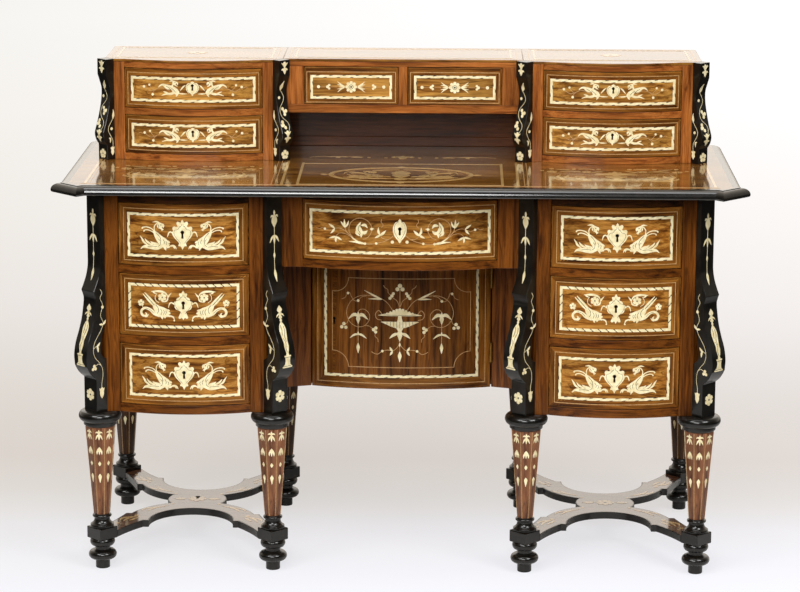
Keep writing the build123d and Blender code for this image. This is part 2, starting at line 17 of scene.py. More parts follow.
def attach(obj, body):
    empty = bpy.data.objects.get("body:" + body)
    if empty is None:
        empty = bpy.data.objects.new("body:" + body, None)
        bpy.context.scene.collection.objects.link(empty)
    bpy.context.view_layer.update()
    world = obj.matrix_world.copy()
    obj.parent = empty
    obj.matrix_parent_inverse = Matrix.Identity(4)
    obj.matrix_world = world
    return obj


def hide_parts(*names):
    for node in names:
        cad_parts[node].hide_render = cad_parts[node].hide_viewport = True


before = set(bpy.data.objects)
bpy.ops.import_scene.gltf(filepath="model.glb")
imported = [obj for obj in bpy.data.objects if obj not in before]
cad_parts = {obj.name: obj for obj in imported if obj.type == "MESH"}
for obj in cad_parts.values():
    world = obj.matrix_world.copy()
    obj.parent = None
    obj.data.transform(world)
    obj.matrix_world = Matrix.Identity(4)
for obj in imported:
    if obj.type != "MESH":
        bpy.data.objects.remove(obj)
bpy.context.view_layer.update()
MM = 0.001  # the joiner works in millimetres, Blender in metres
chance = np.random.default_rng(1685)


# %% A helper for objects
def placed(name, data):
    """A new object in the scene."""
    made = bpy.data.objects.new(name, data)
    bpy.context.scene.collection.objects.link(made)
    return made


# %% [markdown]
# ## The camera
# A long lens from standing height, a little to the right of the middle, so that the uprights stay
# almost parallel. The three angles are turned into the camera's own axes.

# %% Camera
image_width, sensor_width = 800, 36.0
focal_length_px = 2950.27
pitch, yaw, roll = 0.217908, 0.018983, 0.0040127
eye = Vector((0.1129, -6.1203, 1.8945))
ahead = Vector((-math.sin(yaw) * math.cos(pitch), math.cos(yaw) * math.cos(pitch), -math.sin(pitch)))
level = Vector((math.cos(yaw), math.sin(yaw), 0.0))
upward = level.cross(ahead)
across = math.cos(roll) * level + math.sin(roll) * upward
upright = -math.sin(roll) * level + math.cos(roll) * upward
camera_data = bpy.data.cameras.new("camera")
camera_data.sensor_width = sensor_width
camera_data.lens = focal_length_px * sensor_width / image_width
camera = placed("camera", camera_data)
camera.matrix_world = Matrix.Translation(eye) @ Matrix((across, upright, -ahead)).transposed().to_4x4()
bpy.context.scene.camera = camera
print("lens", round(camera_data.lens, 1), "mm")

# %% [markdown]
# ## Finishes
# Each finish is a small tree of shader nodes. One helper adds a node, sets it and links it, and one
# function turns a paint-chart colour into the linear light that Blender counts in.


# %% Helpers for finishes
def colour(chip):
    """Linear red, green, blue and alpha of a #RRGGBB colour chip."""
    parts = [int(chip[i:i + 2], 16) / 255 for i in (1, 3, 5)]
    return tuple(c / 12.92 if c <= 0.04045 else ((c + 0.055) / 1.055) ** 2.4 for c in parts) + (1.0,)


def add(tree, kind, inputs=None, stops=None, **settings):
    """Adds a node, sets it and links it. inputs are numbers, colours, other nodes' outputs, or whole
    nodes, of which the first output is taken; stops fill a colour ramp."""
    made = tree.nodes.new(kind)
    for name, value in settings.items():
        setattr(made, name, value)
    for name, value in (inputs or {}).items():
        if isinstance(value, bpy.types.Node):
            value = value.outputs[0]
        if isinstance(value, bpy.types.NodeSocket):
            tree.links.new(value, made.inputs[name])
        else:
            made.inputs[name].default_value = value
    for spare in range(len(stops or []) - 2):
        made.color_ramp.elements.new(0.5)
    for element, (place, chip) in zip(made.color_ramp.elements if stops else [], stops or []):
        element.position = place
        element.color = colour(chip)
    return made


def finish(name, **values):
    """A new material and its Principled surface, with its even values set on the surface itself."""
    material = bpy.data.materials.new(name)
    material.use_nodes = True
    surface = material.node_tree.nodes["Principled BSDF"]
    for socket, value in values.items():
        surface.inputs[socket.replace("_", " ")].default_value = value
    return material, material.node_tree, surface


def wear(tree, surface, tone, relief, gloss, strength, depth):
    """Gives a surface its colour, and an uneven gloss and faint relief (depth in mm) from one noise."""
    height = relief.outputs["Fac"]
    uneven = add(tree, "ShaderNodeMapRange", {"Value": height, "To Min": gloss[0], "To Max": gloss[1]})
    bump = add(tree, "ShaderNodeBump", {"Height": height, "Strength": strength, "Distance": depth * MM})
    for node, socket in ((tone, "Base Color"), (uneven, "Roughness"), (bump, "Normal")):
        tree.links.new(node.outputs[0], surface.inputs[socket])


# %% [markdown]
# ## Rosewood veneer
# Rosewood is an orange-brown wood crossed by nearly black lines that wander along the grain, with
# fine pores between them. A board carries its own grain coordinates in millimetres: the first runs
# along the fibres. Long, narrow noise makes the broad streaks, contour lines of a smoother noise
# make the ink lines, slow clouds lighten and darken it over a hand's width, and a French polish
# lies over all of it as a clear coat.


# %% Wood
fibre_sway = 16.0  # the fibres wander sideways, 8 mm to either side
# how many waves a millimetre holds, along the grain and across it
sway_scale, fibre_scale = (0.006, 0.014, 0.014), (0.03, 0.9, 0.9)
streak_slimness = 0.045  # the width of a streak against its length
# the ink lines are contours of this field, where a sine of it peaks
line_scale, line_start, line_pace = (0.0022, 0.034, 0.034), (7.0, 3.0, 5.0), 44.0
# how far fibres and clouds darken and lighten the wood
fibre_dark, fibre_light, cloud_dark, cloud_light = 0.7, 1.2, 0.72, 1.28


def wood(name, dark, middle, light, turn=None, ink=0.5, streak=9.0, roughness=0.3, coat=0.3, **values):
    """A polished wood. ink is how dark its lines are, streak how wide its streaks are in millimetres.
    turn, where the piece has no grain of its own, turns the object's axes to it."""
    material, tree, surface = finish(name, Coat_Weight=coat, Coat_Roughness=0.07,
                                     Specular_IOR_Level=0.12, **values)
    if turn is None:
        place = add(tree, "ShaderNodeAttribute", attribute_name="grain").outputs["Vector"]
    else:
        place = add(tree, "ShaderNodeMapping", {
            "Vector": add(tree, "ShaderNodeTexCoord").outputs["Object"],
            "Rotation": turn, "Scale": (1 / MM,) * 3}).outputs["Vector"]
    slow = add(tree, "ShaderNodeMapping", {"Vector": place, "Scale": sway_scale})
    wander = add(tree, "ShaderNodeTexNoise", {"Vector": slow, "Scale": 1.0, "Detail": 1.0})
    sway = add(tree, "ShaderNodeVectorMath", {0: wander.outputs["Color"], 1: (0.5, 0.5, 0.5)},
               operation="SUBTRACT")
    bent = add(tree, "ShaderNodeVectorMath", {0: sway, 1: (0.0, fibre_sway, fibre_sway), 2: place},
               operation="MULTIPLY_ADD")
    long_way = add(tree, "ShaderNodeMapping", {
        "Vector": bent, "Scale": (streak_slimness / streak, 1 / streak, 1 / streak)})
    broad = add(tree, "ShaderNodeTexNoise", {
        "Vector": long_way, "Scale": 1.0, "Detail": 5.0, "Roughness": 0.62})
    tone = add(tree, "ShaderNodeValToRGB", {"Fac": broad.outputs["Fac"]}, stops=[
        (0.33, dark), (0.46, middle), (0.6, light), (0.78, middle)])
    line_way = add(tree, "ShaderNodeMapping", {"Vector": bent, "Scale": line_scale, "Location": line_start})
    field = add(tree, "ShaderNodeTexNoise", {"Vector": line_way, "Scale": 1.0, "Detail": 2.0})
    wave = add(tree, "ShaderNodeMath", {0: field.outputs["Fac"], 1: line_pace}, operation="MULTIPLY")
    ripple = add(tree, "ShaderNodeMath", {0: wave}, operation="SINE")
    line = add(tree, "ShaderNodeMapRange", {
        "Value": ripple, "From Min": 0.86, "From Max": 1.0, "To Min": 0.0, "To Max": ink})
    inked = add(tree, "ShaderNodeMix", {0: line, 6: tone, 7: colour(dark)},
                data_type="RGBA", blend_type="MULTIPLY")
    fine_way = add(tree, "ShaderNodeMapping", {"Vector": bent, "Scale": fibre_scale})
    fibre = add(tree, "ShaderNodeTexNoise", {"Vector": fine_way, "Scale": 1.0, "Detail": 3.0})
    shade = add(tree, "ShaderNodeMapRange", {
        "Value": fibre.outputs["Fac"], "From Min": 0.3, "From Max": 0.7, "To Min": fibre_dark,
        "To Max": fibre_light})
    cloud = add(tree, "ShaderNodeMapRange", {
        "Value": wander.outputs["Fac"], "From Min": 0.32, "From Max": 0.68, "To Min": cloud_dark,
        "To Max": cloud_light})
    both = add(tree, "ShaderNodeMath", {0: shade, 1: cloud}, operation="MULTIPLY")
    toned = add(tree, "ShaderNodeVectorMath", {0: inked.outputs[2], "Scale": both}, operation="SCALE")
    wear(tree, surface, toned, fibre, (roughness - 0.06, roughness + 0.1), 0.12, 0.2)
    return material


# %% The woods of the desk
quarter = math.pi / 2
# golden, strongly streaked veneer of the drawer fronts
drawer_rosewood = wood("french_polished_rosewood_golden", "#462408", "#82501A", "#AD7A37")
# lighter veneer of the gradin's drawers, and of its rails and stiles: painted light, for the stronger light
# that falls on the gradin
painted_light_gradin_rosewood = wood("sun_faded_rosewood_golden", "#5C3711", "#8E5E25", "#B98840")
painted_light_gradin_frame_rosewood = wood("sun_faded_rosewood_red", "#5A2C10", "#8C4F20", "#A4642E", ink=0.35)
# redder, calmer veneer of rails and stiles
frame_rosewood = wood("french_polished_rosewood_red", "#2F1505", "#592F0B", "#744113", ink=0.35)
# brown cross-banding between the bone border and the edge of a panel
border_rosewood = wood("french_polished_rosewood_brown", "#391C06", "#6C3F13", "#8C5A21", ink=0.4)
# dark heartwood of the cupboard door
dark_rosewood = wood("french_polished_rosewood_dark", "#2E1704", "#603711", "#7A4A1A", ink=0.32)
# the rails right under the overhang of the top, nearly black: painted shade of the overhanging top
painted_shade_rosewood = wood("unfaded_rosewood_rails", "#140903", "#2C1706", "#3F220B", ink=0.3)
# the tops: brown, with a deeper polish that mirrors what stands on them
top_rosewood = wood("mirror_polished_rosewood", "#3C1E08", "#6E4518", "#8C6028", ink=0.4,
                    roughness=0.22, coat=1.0)
# legs: a plain red-brown in front, and a darker copy at the back, painted shade where the pedestals shade the
# back legs
leg_rosewood = wood("french_polished_rosewood_legs", "#4A2818", "#774A30", "#8E5C3C", ink=0.3)
back_leg_rosewood_painted_shade = wood("unfaded_rosewood_legs", "#1E0F07", "#33200F", "#44290F", ink=0.3)
# the tops of the stretchers, under a hard, bright varnish
stretcher_rosewood = wood("hard_varnished_rosewood", "#2A140A", "#523222", "#6A4630", ink=0.3, coat=1.0,
                          Coat_IOR=2.1)
# calm, oiled boards of the open compartment, with the grain along the desk; their dark tones are painted
# shade of the recess under the gradin
shelf_rosewood_painted_shade = wood("oiled_rosewood_boards", "#3C1F0B", "#53290D", "#613413", turn=(0, 0, 0), ink=0.2)
# pale quarter-sawn oak of drawer boxes, and darker oak of the case boards
box_oak = wood("planed_oak_drawer_boxes", "#7B5630", "#B08650", "#C49C66", turn=(0, 0, -quarter),
               ink=0.1, streak=6.0, roughness=0.55, coat=0.0)
case_oak = wood("stained_oak_case_boards", "#4A2D17", "#744A28", "#8C5E36", turn=(0, quarter, 0),
                ink=0.12, roughness=0.55, coat=0.0)
print(len(bpy.data.materials), "woods")

# %% [markdown]
# ## Ebony black, bone and metal
# Ebonised pear is dyed black and polished: dark, with soft grey reflections. Bone is cream, never
# quite even, with a silky face. The stringing is boxwood, the engraving is filled with dark
# mastic, the lock cases are blacked iron and the hinges are rubbed brass.


# %% Other finishes
def mottled(name, first, second, grain_mm, rough, **values):
    """A finish that drifts between two colours over a few millimetres, with a slightly uneven gloss."""
    material, tree, surface = finish(name, **values)
    place = add(tree, "ShaderNodeTexCoord").outputs["Object"]
    drift = add(tree, "ShaderNodeTexNoise", {"Vector": place, "Scale": 1 / (grain_mm * MM), "Detail": 4.0})
    tone = add(tree, "ShaderNodeValToRGB", {"Fac": drift.outputs["Fac"]},
               stops=[(0.35, first), (0.65, second)])
    wear(tree, surface, tone, drift, (rough - 0.07, rough + 0.07), 0.05, 0.3)
    return material


# black dye under shellac: deep black with a soft sheen
ebonised = mottled("ebonised_pear", "#0A0907", "#15120E", 14, 0.32, Coat_Weight=0.8, Coat_Roughness=0.13,
                    Coat_IOR=1.42, Specular_IOR_Level=0.2)
# the same black on the edge moulding, rubbed to a harder shine by sleeves
shiny_ebony = mottled("rubbed_ebonised_pear", "#0A0907", "#15120E", 14, 0.3, Coat_Weight=1.0,
                      Coat_Roughness=0.14, Coat_IOR=1.8, Specular_IOR_Level=0.2)
# polished ox bone: warm cream, a little darker in patches
bone = mottled("polished_bone", "#DCCC9C", "#F1E6BF", 9, 0.36)
# bone under the yellowed varnish of the tops: old gold
aged_bone = mottled("varnished_bone", "#A9834A", "#C9A66A", 9, 0.3, Coat_Weight=1.0, Coat_Roughness=0.07)
# boxwood lines: straw gold
boxwood = mottled("boxwood_stringing", "#A57A48", "#C09A66", 5, 0.4, Coat_Weight=0.8,
                  Coat_Roughness=0.07)
# dark mastic rubbed into the engraving
mastic = mottled("black_mastic", "#23180D", "#35271A", 4, 0.6, Coat_Weight=0.8, Coat_Roughness=0.07)
# blacked iron lock cases and rubbed brass hinges
lock_iron = mottled("blacked_iron", "#2B2A29", "#474340", 6, 0.5, Metallic=1.0)
hinge_brass = mottled("rubbed_brass", "#8C6A33", "#B48E4B", 6, 0.38, Metallic=1.0)
print(len(bpy.data.materials), "finishes")

# %% [markdown]
# ## Floor, backdrop and light
# A wide pale floor that turns to plain white in the distance, large soft lamps at the front left
# and right, and a low one in the middle that reaches under the frieze and draws the long highlight
# on the edge moulding. The polished tops reflect the white behind the desk, and a wide panel there
# that shows in reflections only.

# %% Floor
floor_radius, floor_corners = 26.0, 96
# the light falls off sideways, from 3 m to one side of the desk to 3 m to the other
floor_left, floor_right, side_reach = (0.9, 0.9, 0.9, 1.0), (1.13, 1.15, 1.24, 1.0), 3.0
floor_glow = 0.75  # how far the paper near the desk is plain colour rather than lit
glow_from, glow_to = 0.4, 2.4  # metres behind the desk's middle between which it turns to all colour
paper_from, paper_to = -1.0, 9.0  # where the tones begin and end, from front to back
# the floor in reflections, and between which distances from the middle it darkens
mirrored_near, mirrored_far, mirror_from, mirror_to = 0.7, 0.03, 1.0, 1.8
# the paper's tones from front to back; the warm grey band behind the desk is painted shade
floor_tones_with_painted_shade = [
    (0.06, "#F3F3F5"), (0.11, "#F0EEEC"), (0.135, "#E6E1D9"), (0.165, "#E1D9D0"), (0.22, "#E5DED5"),
    (0.31, "#EEE8E0"), (0.46, "#F5F0E8"), (0.7, "#FCF8F1"), (1.0, "#FFFDF8")]


def studio_floor():
    """A pale disc under the desk. The eye sees a paper sweep that turns from white to a warm grey behind the
    desk, painted shade of the desk's shadow there, and back to white far away. Reflections and bounced light
    see it dark beyond a good step from the desk, so that the upright faces keep their own colour."""
    material, tree, surface = finish("matt_studio_floor", Roughness=0.6, Specular_IOR_Level=0.1)
    place = add(tree, "ShaderNodeSeparateXYZ", {0: add(tree, "ShaderNodeTexCoord").outputs["Object"]})
    depth = add(tree, "ShaderNodeMapRange", {"Value": place.outputs["Y"], "From Min": paper_from,
                                             "From Max": paper_to})
    paper = add(tree, "ShaderNodeValToRGB", {"Fac": depth}, stops=floor_tones_with_painted_shade)
    side = add(tree, "ShaderNodeMapRange", {"Value": place.outputs["X"], "From Min": -side_reach,
                                            "From Max": side_reach})
    tilt = add(tree, "ShaderNodeMix", {0: side, 6: floor_left, 7: floor_right}, data_type="RGBA")
    toned = add(tree, "ShaderNodeVectorMath", {0: paper, 1: tilt.outputs[2]}, operation="MULTIPLY")
    rays = add(tree, "ShaderNodeLightPath")
    away = add(tree, "ShaderNodeVectorMath", {0: add(tree, "ShaderNodeTexCoord").outputs["Object"]},
               operation="LENGTH")
    darker = add(tree, "ShaderNodeMapRange", {
        "Value": away.outputs["Value"], "From Min": mirror_from, "From Max": mirror_to,
        "To Min": mirrored_near, "To Max": mirrored_far})
    bounced = add(tree, "ShaderNodeMix", {0: rays.outputs["Is Camera Ray"], 6: darker, 7: toned},
                  data_type="RGBA")
    tree.links.new(bounced.outputs[2], surface.inputs["Base Color"])
    far = add(tree, "ShaderNodeMapRange", {"Value": place.outputs["Y"], "From Min": glow_from,
                                           "From Max": glow_to, "To Min": floor_glow, "To Max": 1.0})
    share = add(tree, "ShaderNodeMath", {0: far, 1: rays.outputs["Is Camera Ray"]}, operation="MULTIPLY")
    white = add(tree, "ShaderNodeEmission", {"Color": toned, "Strength": 1.0})
    mixed = add(tree, "ShaderNodeMixShader", {0: share, 1: surface, 2: white})
    tree.links.new(mixed.outputs[0], tree.nodes["Material Output"].inputs["Surface"])
    ring = np.linspace(0, 2 * math.pi, floor_corners, endpoint=False)
    mesh = bpy.data.meshes.new("studio_floor")
    mesh.from_pydata([(floor_radius * math.cos(a), floor_radius * math.sin(a), 0.0) for a in ring], [],
                     [tuple(range(floor_corners))])
    mesh.materials.append(material)
    disc = placed("studio_floor", mesh)


studio_floor()
print("floor", 2 * floor_radius, "m across")


# %% Lamps
def lamp(name, place, towards, size, power, lights_all=True):
    """A soft rectangular lamp that looks at a point. One that doesn't light all is for reflections."""
    data = bpy.data.lights.new(name, "AREA")
    data.shape, data.size, data.size_y = "RECTANGLE", size[0], size[1]
    data.energy = power
    light = placed(name, data)
    aim = (Vector(towards) - Vector(place)).to_track_quat("-Z", "Y").to_matrix().to_4x4()
    light.matrix_world = Matrix.Translation(place) @ aim
    light.visible_camera, light.visible_diffuse = False, lights_all


desk_middle = (0, 0, 0.6)
lamp("front_left", (-2.4, -3.2, 4.0), desk_middle, (2.0, 1.6), 100)
lamp("front_right", (2.6, -3.0, 3.9), desk_middle, (2.0, 1.6), 123)
lamp("front_middle", (-0.45, -3.4, 2.1), desk_middle, (1.5, 1.2), 64)
lamp("overhead", (0, -0.6, 4.4), desk_middle, (3.0, 2.0), 50)
lamp("back_panel", (0, 4.4, 2.6), (0, 0, 0.9), (7.0, 2.6), 27, lights_all=False)
print(len(bpy.data.lights), "lamps")

# %% World
fill_light = 0.32  # a warm, even light from all round
mirrored_front, mirrored_back = 0.015, 0.9  # what polish sees in front of the desk and behind it
world = bpy.data.worlds.new("studio")
bpy.context.scene.world = world
world.use_nodes = True
sky = world.node_tree
rays = add(sky, "ShaderNodeLightPath")
looking = add(sky, "ShaderNodeSeparateXYZ", {0: add(sky, "ShaderNodeTexCoord").outputs["Generated"]})
behind = add(sky, "ShaderNodeMapRange", {"Value": looking.outputs["Y"], "From Min": -0.1, "From Max": 0.6,
                                         "To Min": mirrored_front, "To Max": mirrored_back})
shine = add(sky, "ShaderNodeMath", {0: rays.outputs["Is Glossy Ray"], 1: behind}, operation="MULTIPLY")
seen = add(sky, "ShaderNodeMath", {0: rays.outputs["Is Camera Ray"], 1: shine}, operation="MAXIMUM")
diffused = add(sky, "ShaderNodeMath", {0: rays.outputs["Is Diffuse Ray"], 1: fill_light},
               operation="MULTIPLY")
level_out = add(sky, "ShaderNodeMath", {0: seen, 1: diffused}, operation="MAXIMUM")
paper_white = add(sky, "ShaderNodeMix", {0: rays.outputs["Is Camera Ray"], 6: colour("#FFF3E2"),
                                         7: colour("#FFFFFF")}, data_type="RGBA")
sky.links.new(paper_white.outputs[2], sky.nodes["Background"].inputs["Color"])
sky.links.new(level_out.outputs[0], sky.nodes["Background"].inputs["Strength"])
bpy.context.scene.view_settings.view_transform = "Standard"
print("the fill light is", fill_light, "of white")

# %% [markdown]
# ## Shaping tools
# Almost every piece here is a row of cross sections joined up: a drawer front, a turned foot, a
# length of moulding, a leaf of bone. `loft` joins them, `Piece` gathers the parts of one piece in
# millimetres and makes one mesh of them in metres.


# %% Joining sections
def loft(rings, closed=False):
    """Joins rings of points, one closed section after another; open ends get a flat cap."""
    rings = np.asarray(rings, float)
    count, size = rings.shape[:2]
    faces = []
    for i in range(count if closed else count - 1):
        here, there = i * size, (i + 1) % count * size
        faces += [(here + j, here + (j + 1) % size, there + (j + 1) % size, there + j) for j in range(size)]
    if not closed:
        faces += [tuple(range(size))[::-1], tuple(range((count - 1) * size, count * size))]
    return rings.reshape(-1, 3), faces


sharp_edge = 0.5  # radians: edges that turn more than this are taken off


def eased(part, size=0.7):
    """The same block with its sharp edges taken off, as a few strokes of sandpaper would."""
    points, faces = part
    block = bmesh.new()
    corners = [block.verts.new(p) for p in points]
    for face in faces:
        block.faces.new([corners[i] for i in face])
    bmesh.ops.recalc_face_normals(block, faces=block.faces)
    edges = [e for e in block.edges if len(e.link_faces) == 2 and e.calc_face_angle() > sharp_edge]
    bmesh.ops.bevel(block, geom=edges, offset=size, segments=1, affect="EDGES", clamp_overlap=True)
    block.verts.index_update()
    made = (np.array([v.co for v in block.verts], float),
            [tuple(v.index for v in f.verts) for f in block.faces])
    block.free()
    return made


def prism(outline, low, high):
    """A board sawn to an outline in plan."""
    outline = np.asarray(outline, float)
    return loft([np.column_stack([outline, np.full(len(outline), z)]) for z in (low, high)])


lathe_sides = 48


def turned(profile):
    """A piece from the lathe: the profile is radius and height from one end to the other."""
    angles = np.linspace(0, 2 * math.pi, lathe_sides, endpoint=False)
    return loft([[(r * math.cos(a), r * math.sin(a), z) for a in angles] for r, z in profile])


def rectangle(left, near, right, far):
    """The outline of a rectangle in plan."""
    return [(left, near), (right, near), (right, far), (left, far)]


# %% Curves
def arc(start, through, end, steps=10):
    """Points on the circle through three points, from the first to the last."""
    (ax, ay), (bx, by), (cx, cy) = start, through, end
    d = 2 * (ax * (by - cy) + bx * (cy - ay) + cx * (ay - by))
    a2, b2, c2 = ax**2 + ay**2, bx**2 + by**2, cx**2 + cy**2
    ux = (a2 * (by - cy) + b2 * (cy - ay) + c2 * (ay - by)) / d
    uy = (a2 * (cx - bx) + b2 * (ax - cx) + c2 * (bx - ax)) / d
    first, turn = math.atan2(ay - uy, ax - ux), 2 * math.pi
    sweep = (math.atan2(cy - uy, cx - ux) - first) % turn
    if (math.atan2(by - uy, bx - ux) - first) % turn > sweep:
        sweep -= turn
    radius = math.hypot(ax - ux, ay - uy)
    return [(ux + radius * math.cos(first + sweep * t), uy + radius * math.sin(first + sweep * t))
            for t in np.linspace(0, 1, steps + 1)]


def flowing(controls, steps=8):
    """A smooth line through control rows (any number of columns), as Catmull and Rom draw it."""
    rows = np.asarray(controls, float)
    if len(rows) == 2:
        return rows[0] + np.linspace(0, 1, steps + 1)[:, None] * (rows[1] - rows[0])
    ends = np.vstack([2 * rows[0] - rows[1], rows, 2 * rows[-1] - rows[-2]])
    line = []
    for a, b, c, d in zip(ends, ends[1:], ends[2:], ends[3:]):
        t = np.linspace(0, 1, steps, endpoint=False)[:, None]
        line.append(0.5 * (2 * b + (c - a) * t + (2 * a - 5 * b + 4 * c - d) * t**2
                           + (3 * b - a - 3 * c + d) * t**3))
    return np.vstack(line + [rows[-1:]])


# %% Finished pieces
grain_orders = {"x": (0, 2, 1), "z": (2, 0, 1), "y": (1, 0, 2)}
grain_reach = 900  # mm, how far along a log a board may be cut


def face_outwards(mesh):
    """Turns the faces of closed shells outwards."""
    shell = bmesh.new()
    shell.from_mesh(mesh)
    bmesh.ops.recalc_face_normals(shell, faces=shell.faces)
    shell.to_mesh(mesh)
    shell.free()


def settle(made, body, stands_for=()):
    """Links an object, and says what it rides on and what it stands for."""
    bpy.context.scene.collection.objects.link(made)
    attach(made, body)
    if stands_for:
        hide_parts(*stands_for)
    print(made.name, "has", len(made.data.polygons), "faces")
    return made


class Piece:
    """One finished piece of the desk, gathered part by part in millimetres."""

    def __init__(self, name, *finishes):
        self.name, self.finishes = name, finishes
        self.points, self.faces, self.grain, self.skin, self.count = [], [], [], [], 0

    def put(self, part, skin=0, grain="x", lay=None):
        """Adds a part in a finish. grain is the axis its fibres run along, lay moves it into place."""
        points, faces = part
        points = np.asarray(points, float)
        fibres = points[:, grain_orders[grain]] + chance.uniform(-grain_reach, grain_reach, 3)
        if lay:
            points = lay(points)
        self.faces += [tuple(i + self.count for i in face) for face in faces]
        self.skin += [skin] * len(faces)
        self.points.append(points)
        self.grain.append(fibres)
        self.count += len(points)
        return self

    def make(self, body="desk", slot=None, stands_for=(), smooth=0.6):
        """Makes the mesh, turns its faces outwards, and lets it ride on its body."""
        mesh = bpy.data.meshes.new(self.name)
        mesh.from_pydata((np.vstack(self.points) * MM).tolist(), [], self.faces)
        for material in self.finishes:
            mesh.materials.append(material)
        mesh.polygons.foreach_set("material_index", self.skin)
        mesh.attributes.new("grain", "FLOAT_VECTOR", "POINT").data.foreach_set(
            "vector", np.vstack(self.grain).astype(np.float32).ravel())
        face_outwards(mesh)
        mesh.polygons.foreach_set("use_smooth", [True] * len(mesh.polygons))
        mesh.set_sharp_from_angle(angle=smooth)
        return settle(bpy.data.objects.new(self.name, mesh), body, stands_for)


# %% [markdown]
# ## The desk's own measures
# The same driving measures that the joiner used, in millimetres. Everything below is placed from
# the eight legs and the heights of the drawer openings.

# %% Measures
outer_leg_x, inner_leg_x = 620.0, 263.0
leg_row_spacing, leg_height = 470.0, 340.0
writing_height, gradin_top = 823.0, 1037.0
board_overhang, ear_reach, ear_half_width = 74.0, 84.0, 42.0
edge_width, top_thickness, top_back_overhang = 22.0, 19.5, 14.0
capital_radius = 44.5
front_leg_y = -(leg_row_spacing + capital_radius - (ear_reach + ear_half_width) / math.sqrt(2)) / 2
back_leg_y = front_leg_y + leg_row_spacing
pedestal_x = (outer_leg_x + inner_leg_x) / 2
pedestal_half = (outer_leg_x - inner_leg_x) / 2 + 12.0
front_y, back_y = front_leg_y - 12.0, back_leg_y + 12.0
top_bottom = writing_height - top_thickness
kneehole_half = pedestal_x - pedestal_half
cant_leg, drawer_half, drawer_bow = 29.0, 134.0, 24.0
openings = {"bottom": (358.0, 486.5), "middle": (503.5, 634.0), "top": (651.0, 781.0)}
frieze_y, frieze_bottom, frieze_opening = front_leg_y + 17.5, 642.0, (659.0, 785.5)
frieze_half, frieze_bow = 199.5, 33.0
cupboard_y, door_half, door_bow, door_thickness = front_leg_y + 220.0, 192.5, 30.0, 20.0
gradin_y, gradin_back = front_leg_y + 252.0, front_leg_y + 455.0
gradin_half = (outer_leg_x - inner_leg_x) / 2 + 10.0
gradin_cant, gradin_drawer_half, gradin_bow = 21.0, 145.5, 26.0
gradin_openings = {"lower": (837.5, 919.5), "upper": (934.0, 1019.5)}
gradin_centre_y, gradin_gap = gradin_y + gradin_cant, pedestal_x - gradin_half
flat_opening, flat_half, flat_x = (940.0, 1020.5), 100.0, 109.5
front_thickness, gradin_thickness, top_board = 20.0, 16.0, 6.0
sides = {"left": -1, "right": 1}
reveal = 1.4  # gap round a drawer front, with its softened edge
leg_places = [(side * x, y) for side in sides.values() for x in (inner_leg_x, outer_leg_x)
              for y in (front_leg_y, back_leg_y)]
print("pedestals at", pedestal_x, "front at", round(front_y, 1))

# %% [markdown]
# ## Bowed fronts
# The drawers of each bank swell outwards on one arc. `BowedFace` knows that arc. It tells how far
# forward the face lies, and lays flat work on it: a point of the drawing is given along the arc,
# up, and outwards, in the way a veneer cut on the bench is then pressed onto the curve.


# %% Bowed faces
bow_steps = 40


class BowedFace:
    """An upright face towards the sitter, bowed out between two posts. A bow of 0 is a flat face."""

    def __init__(self, middle, half, front, bow):
        self.middle, self.front, self.bow = middle, front, bow
        self.radius = (half**2 + bow**2) / (2 * bow) if bow else 0.0
        self.centre_y = front - bow + self.radius

    def depth(self, x):
        """Where the face lies at a place along the desk."""
        offset = np.asarray(x, float) - self.middle
        return self.centre_y - np.sqrt(self.radius**2 - offset**2) if self.bow else self.front + 0 * offset

    def lay(self, flat):
        """Lays points given along the face, up and outwards."""
        along, up, out = np.asarray(flat, float).T
        if not self.bow:
            return np.column_stack([self.middle + along, up, self.front - out])[:, (0, 2, 1)]
        turn, reach = along / self.radius, self.radius + out
        return np.column_stack([self.middle + reach * np.sin(turn), self.centre_y - reach * np.cos(turn), up])

    def board(self, left, right, back, low, high, rows=()):
        """A board with this face in front and a flat back. rows are heights to divide the face at."""
        x = np.linspace(left, right, bow_steps + 1 if self.bow else 2)
        levels = [low, *rows, high]
        return loft([[*((a, b, z) for z in levels), (a, back, high), (a, back, low)]
                     for a, b in zip(x, self.depth(x))])


drawer_faces = {}
for side_name, side in sides.items():
    drawer_faces[side_name] = BowedFace(side * pedestal_x, drawer_half, front_y, drawer_bow)
    drawer_faces["gradin_" + side_name] = BowedFace(side * pedestal_x, gradin_drawer_half, gradin_y,
                                                    gradin_bow)
    drawer_faces["flat_" + side_name] = BowedFace(side * flat_x, flat_half, gradin_centre_y, 0)
frieze_face = BowedFace(0, frieze_half, frieze_y, frieze_bow)
door_face = BowedFace(0, door_half, cupboard_y, door_bow)
print("drawer arc radius", round(drawer_faces["left"].radius))

# %% [markdown]
# ## Posts and rails
# The carcass shows its front edges as upright posts, with bowed rails between the drawers. The
# grain follows each member, upright in the posts and along the rails, so each is its own board.


# %% Posts and rails
def post(piece, middle, side, half, front, cant, opening, low, high):
    """A front post with its outer corner cut off for the pilaster."""
    outline = [(opening, front), (half - cant, front), (half, front + cant), (opening, front + cant)]
    piece.put(eased(prism([(middle + side * x, y) for x, y in outline], low, high)), grain="z")


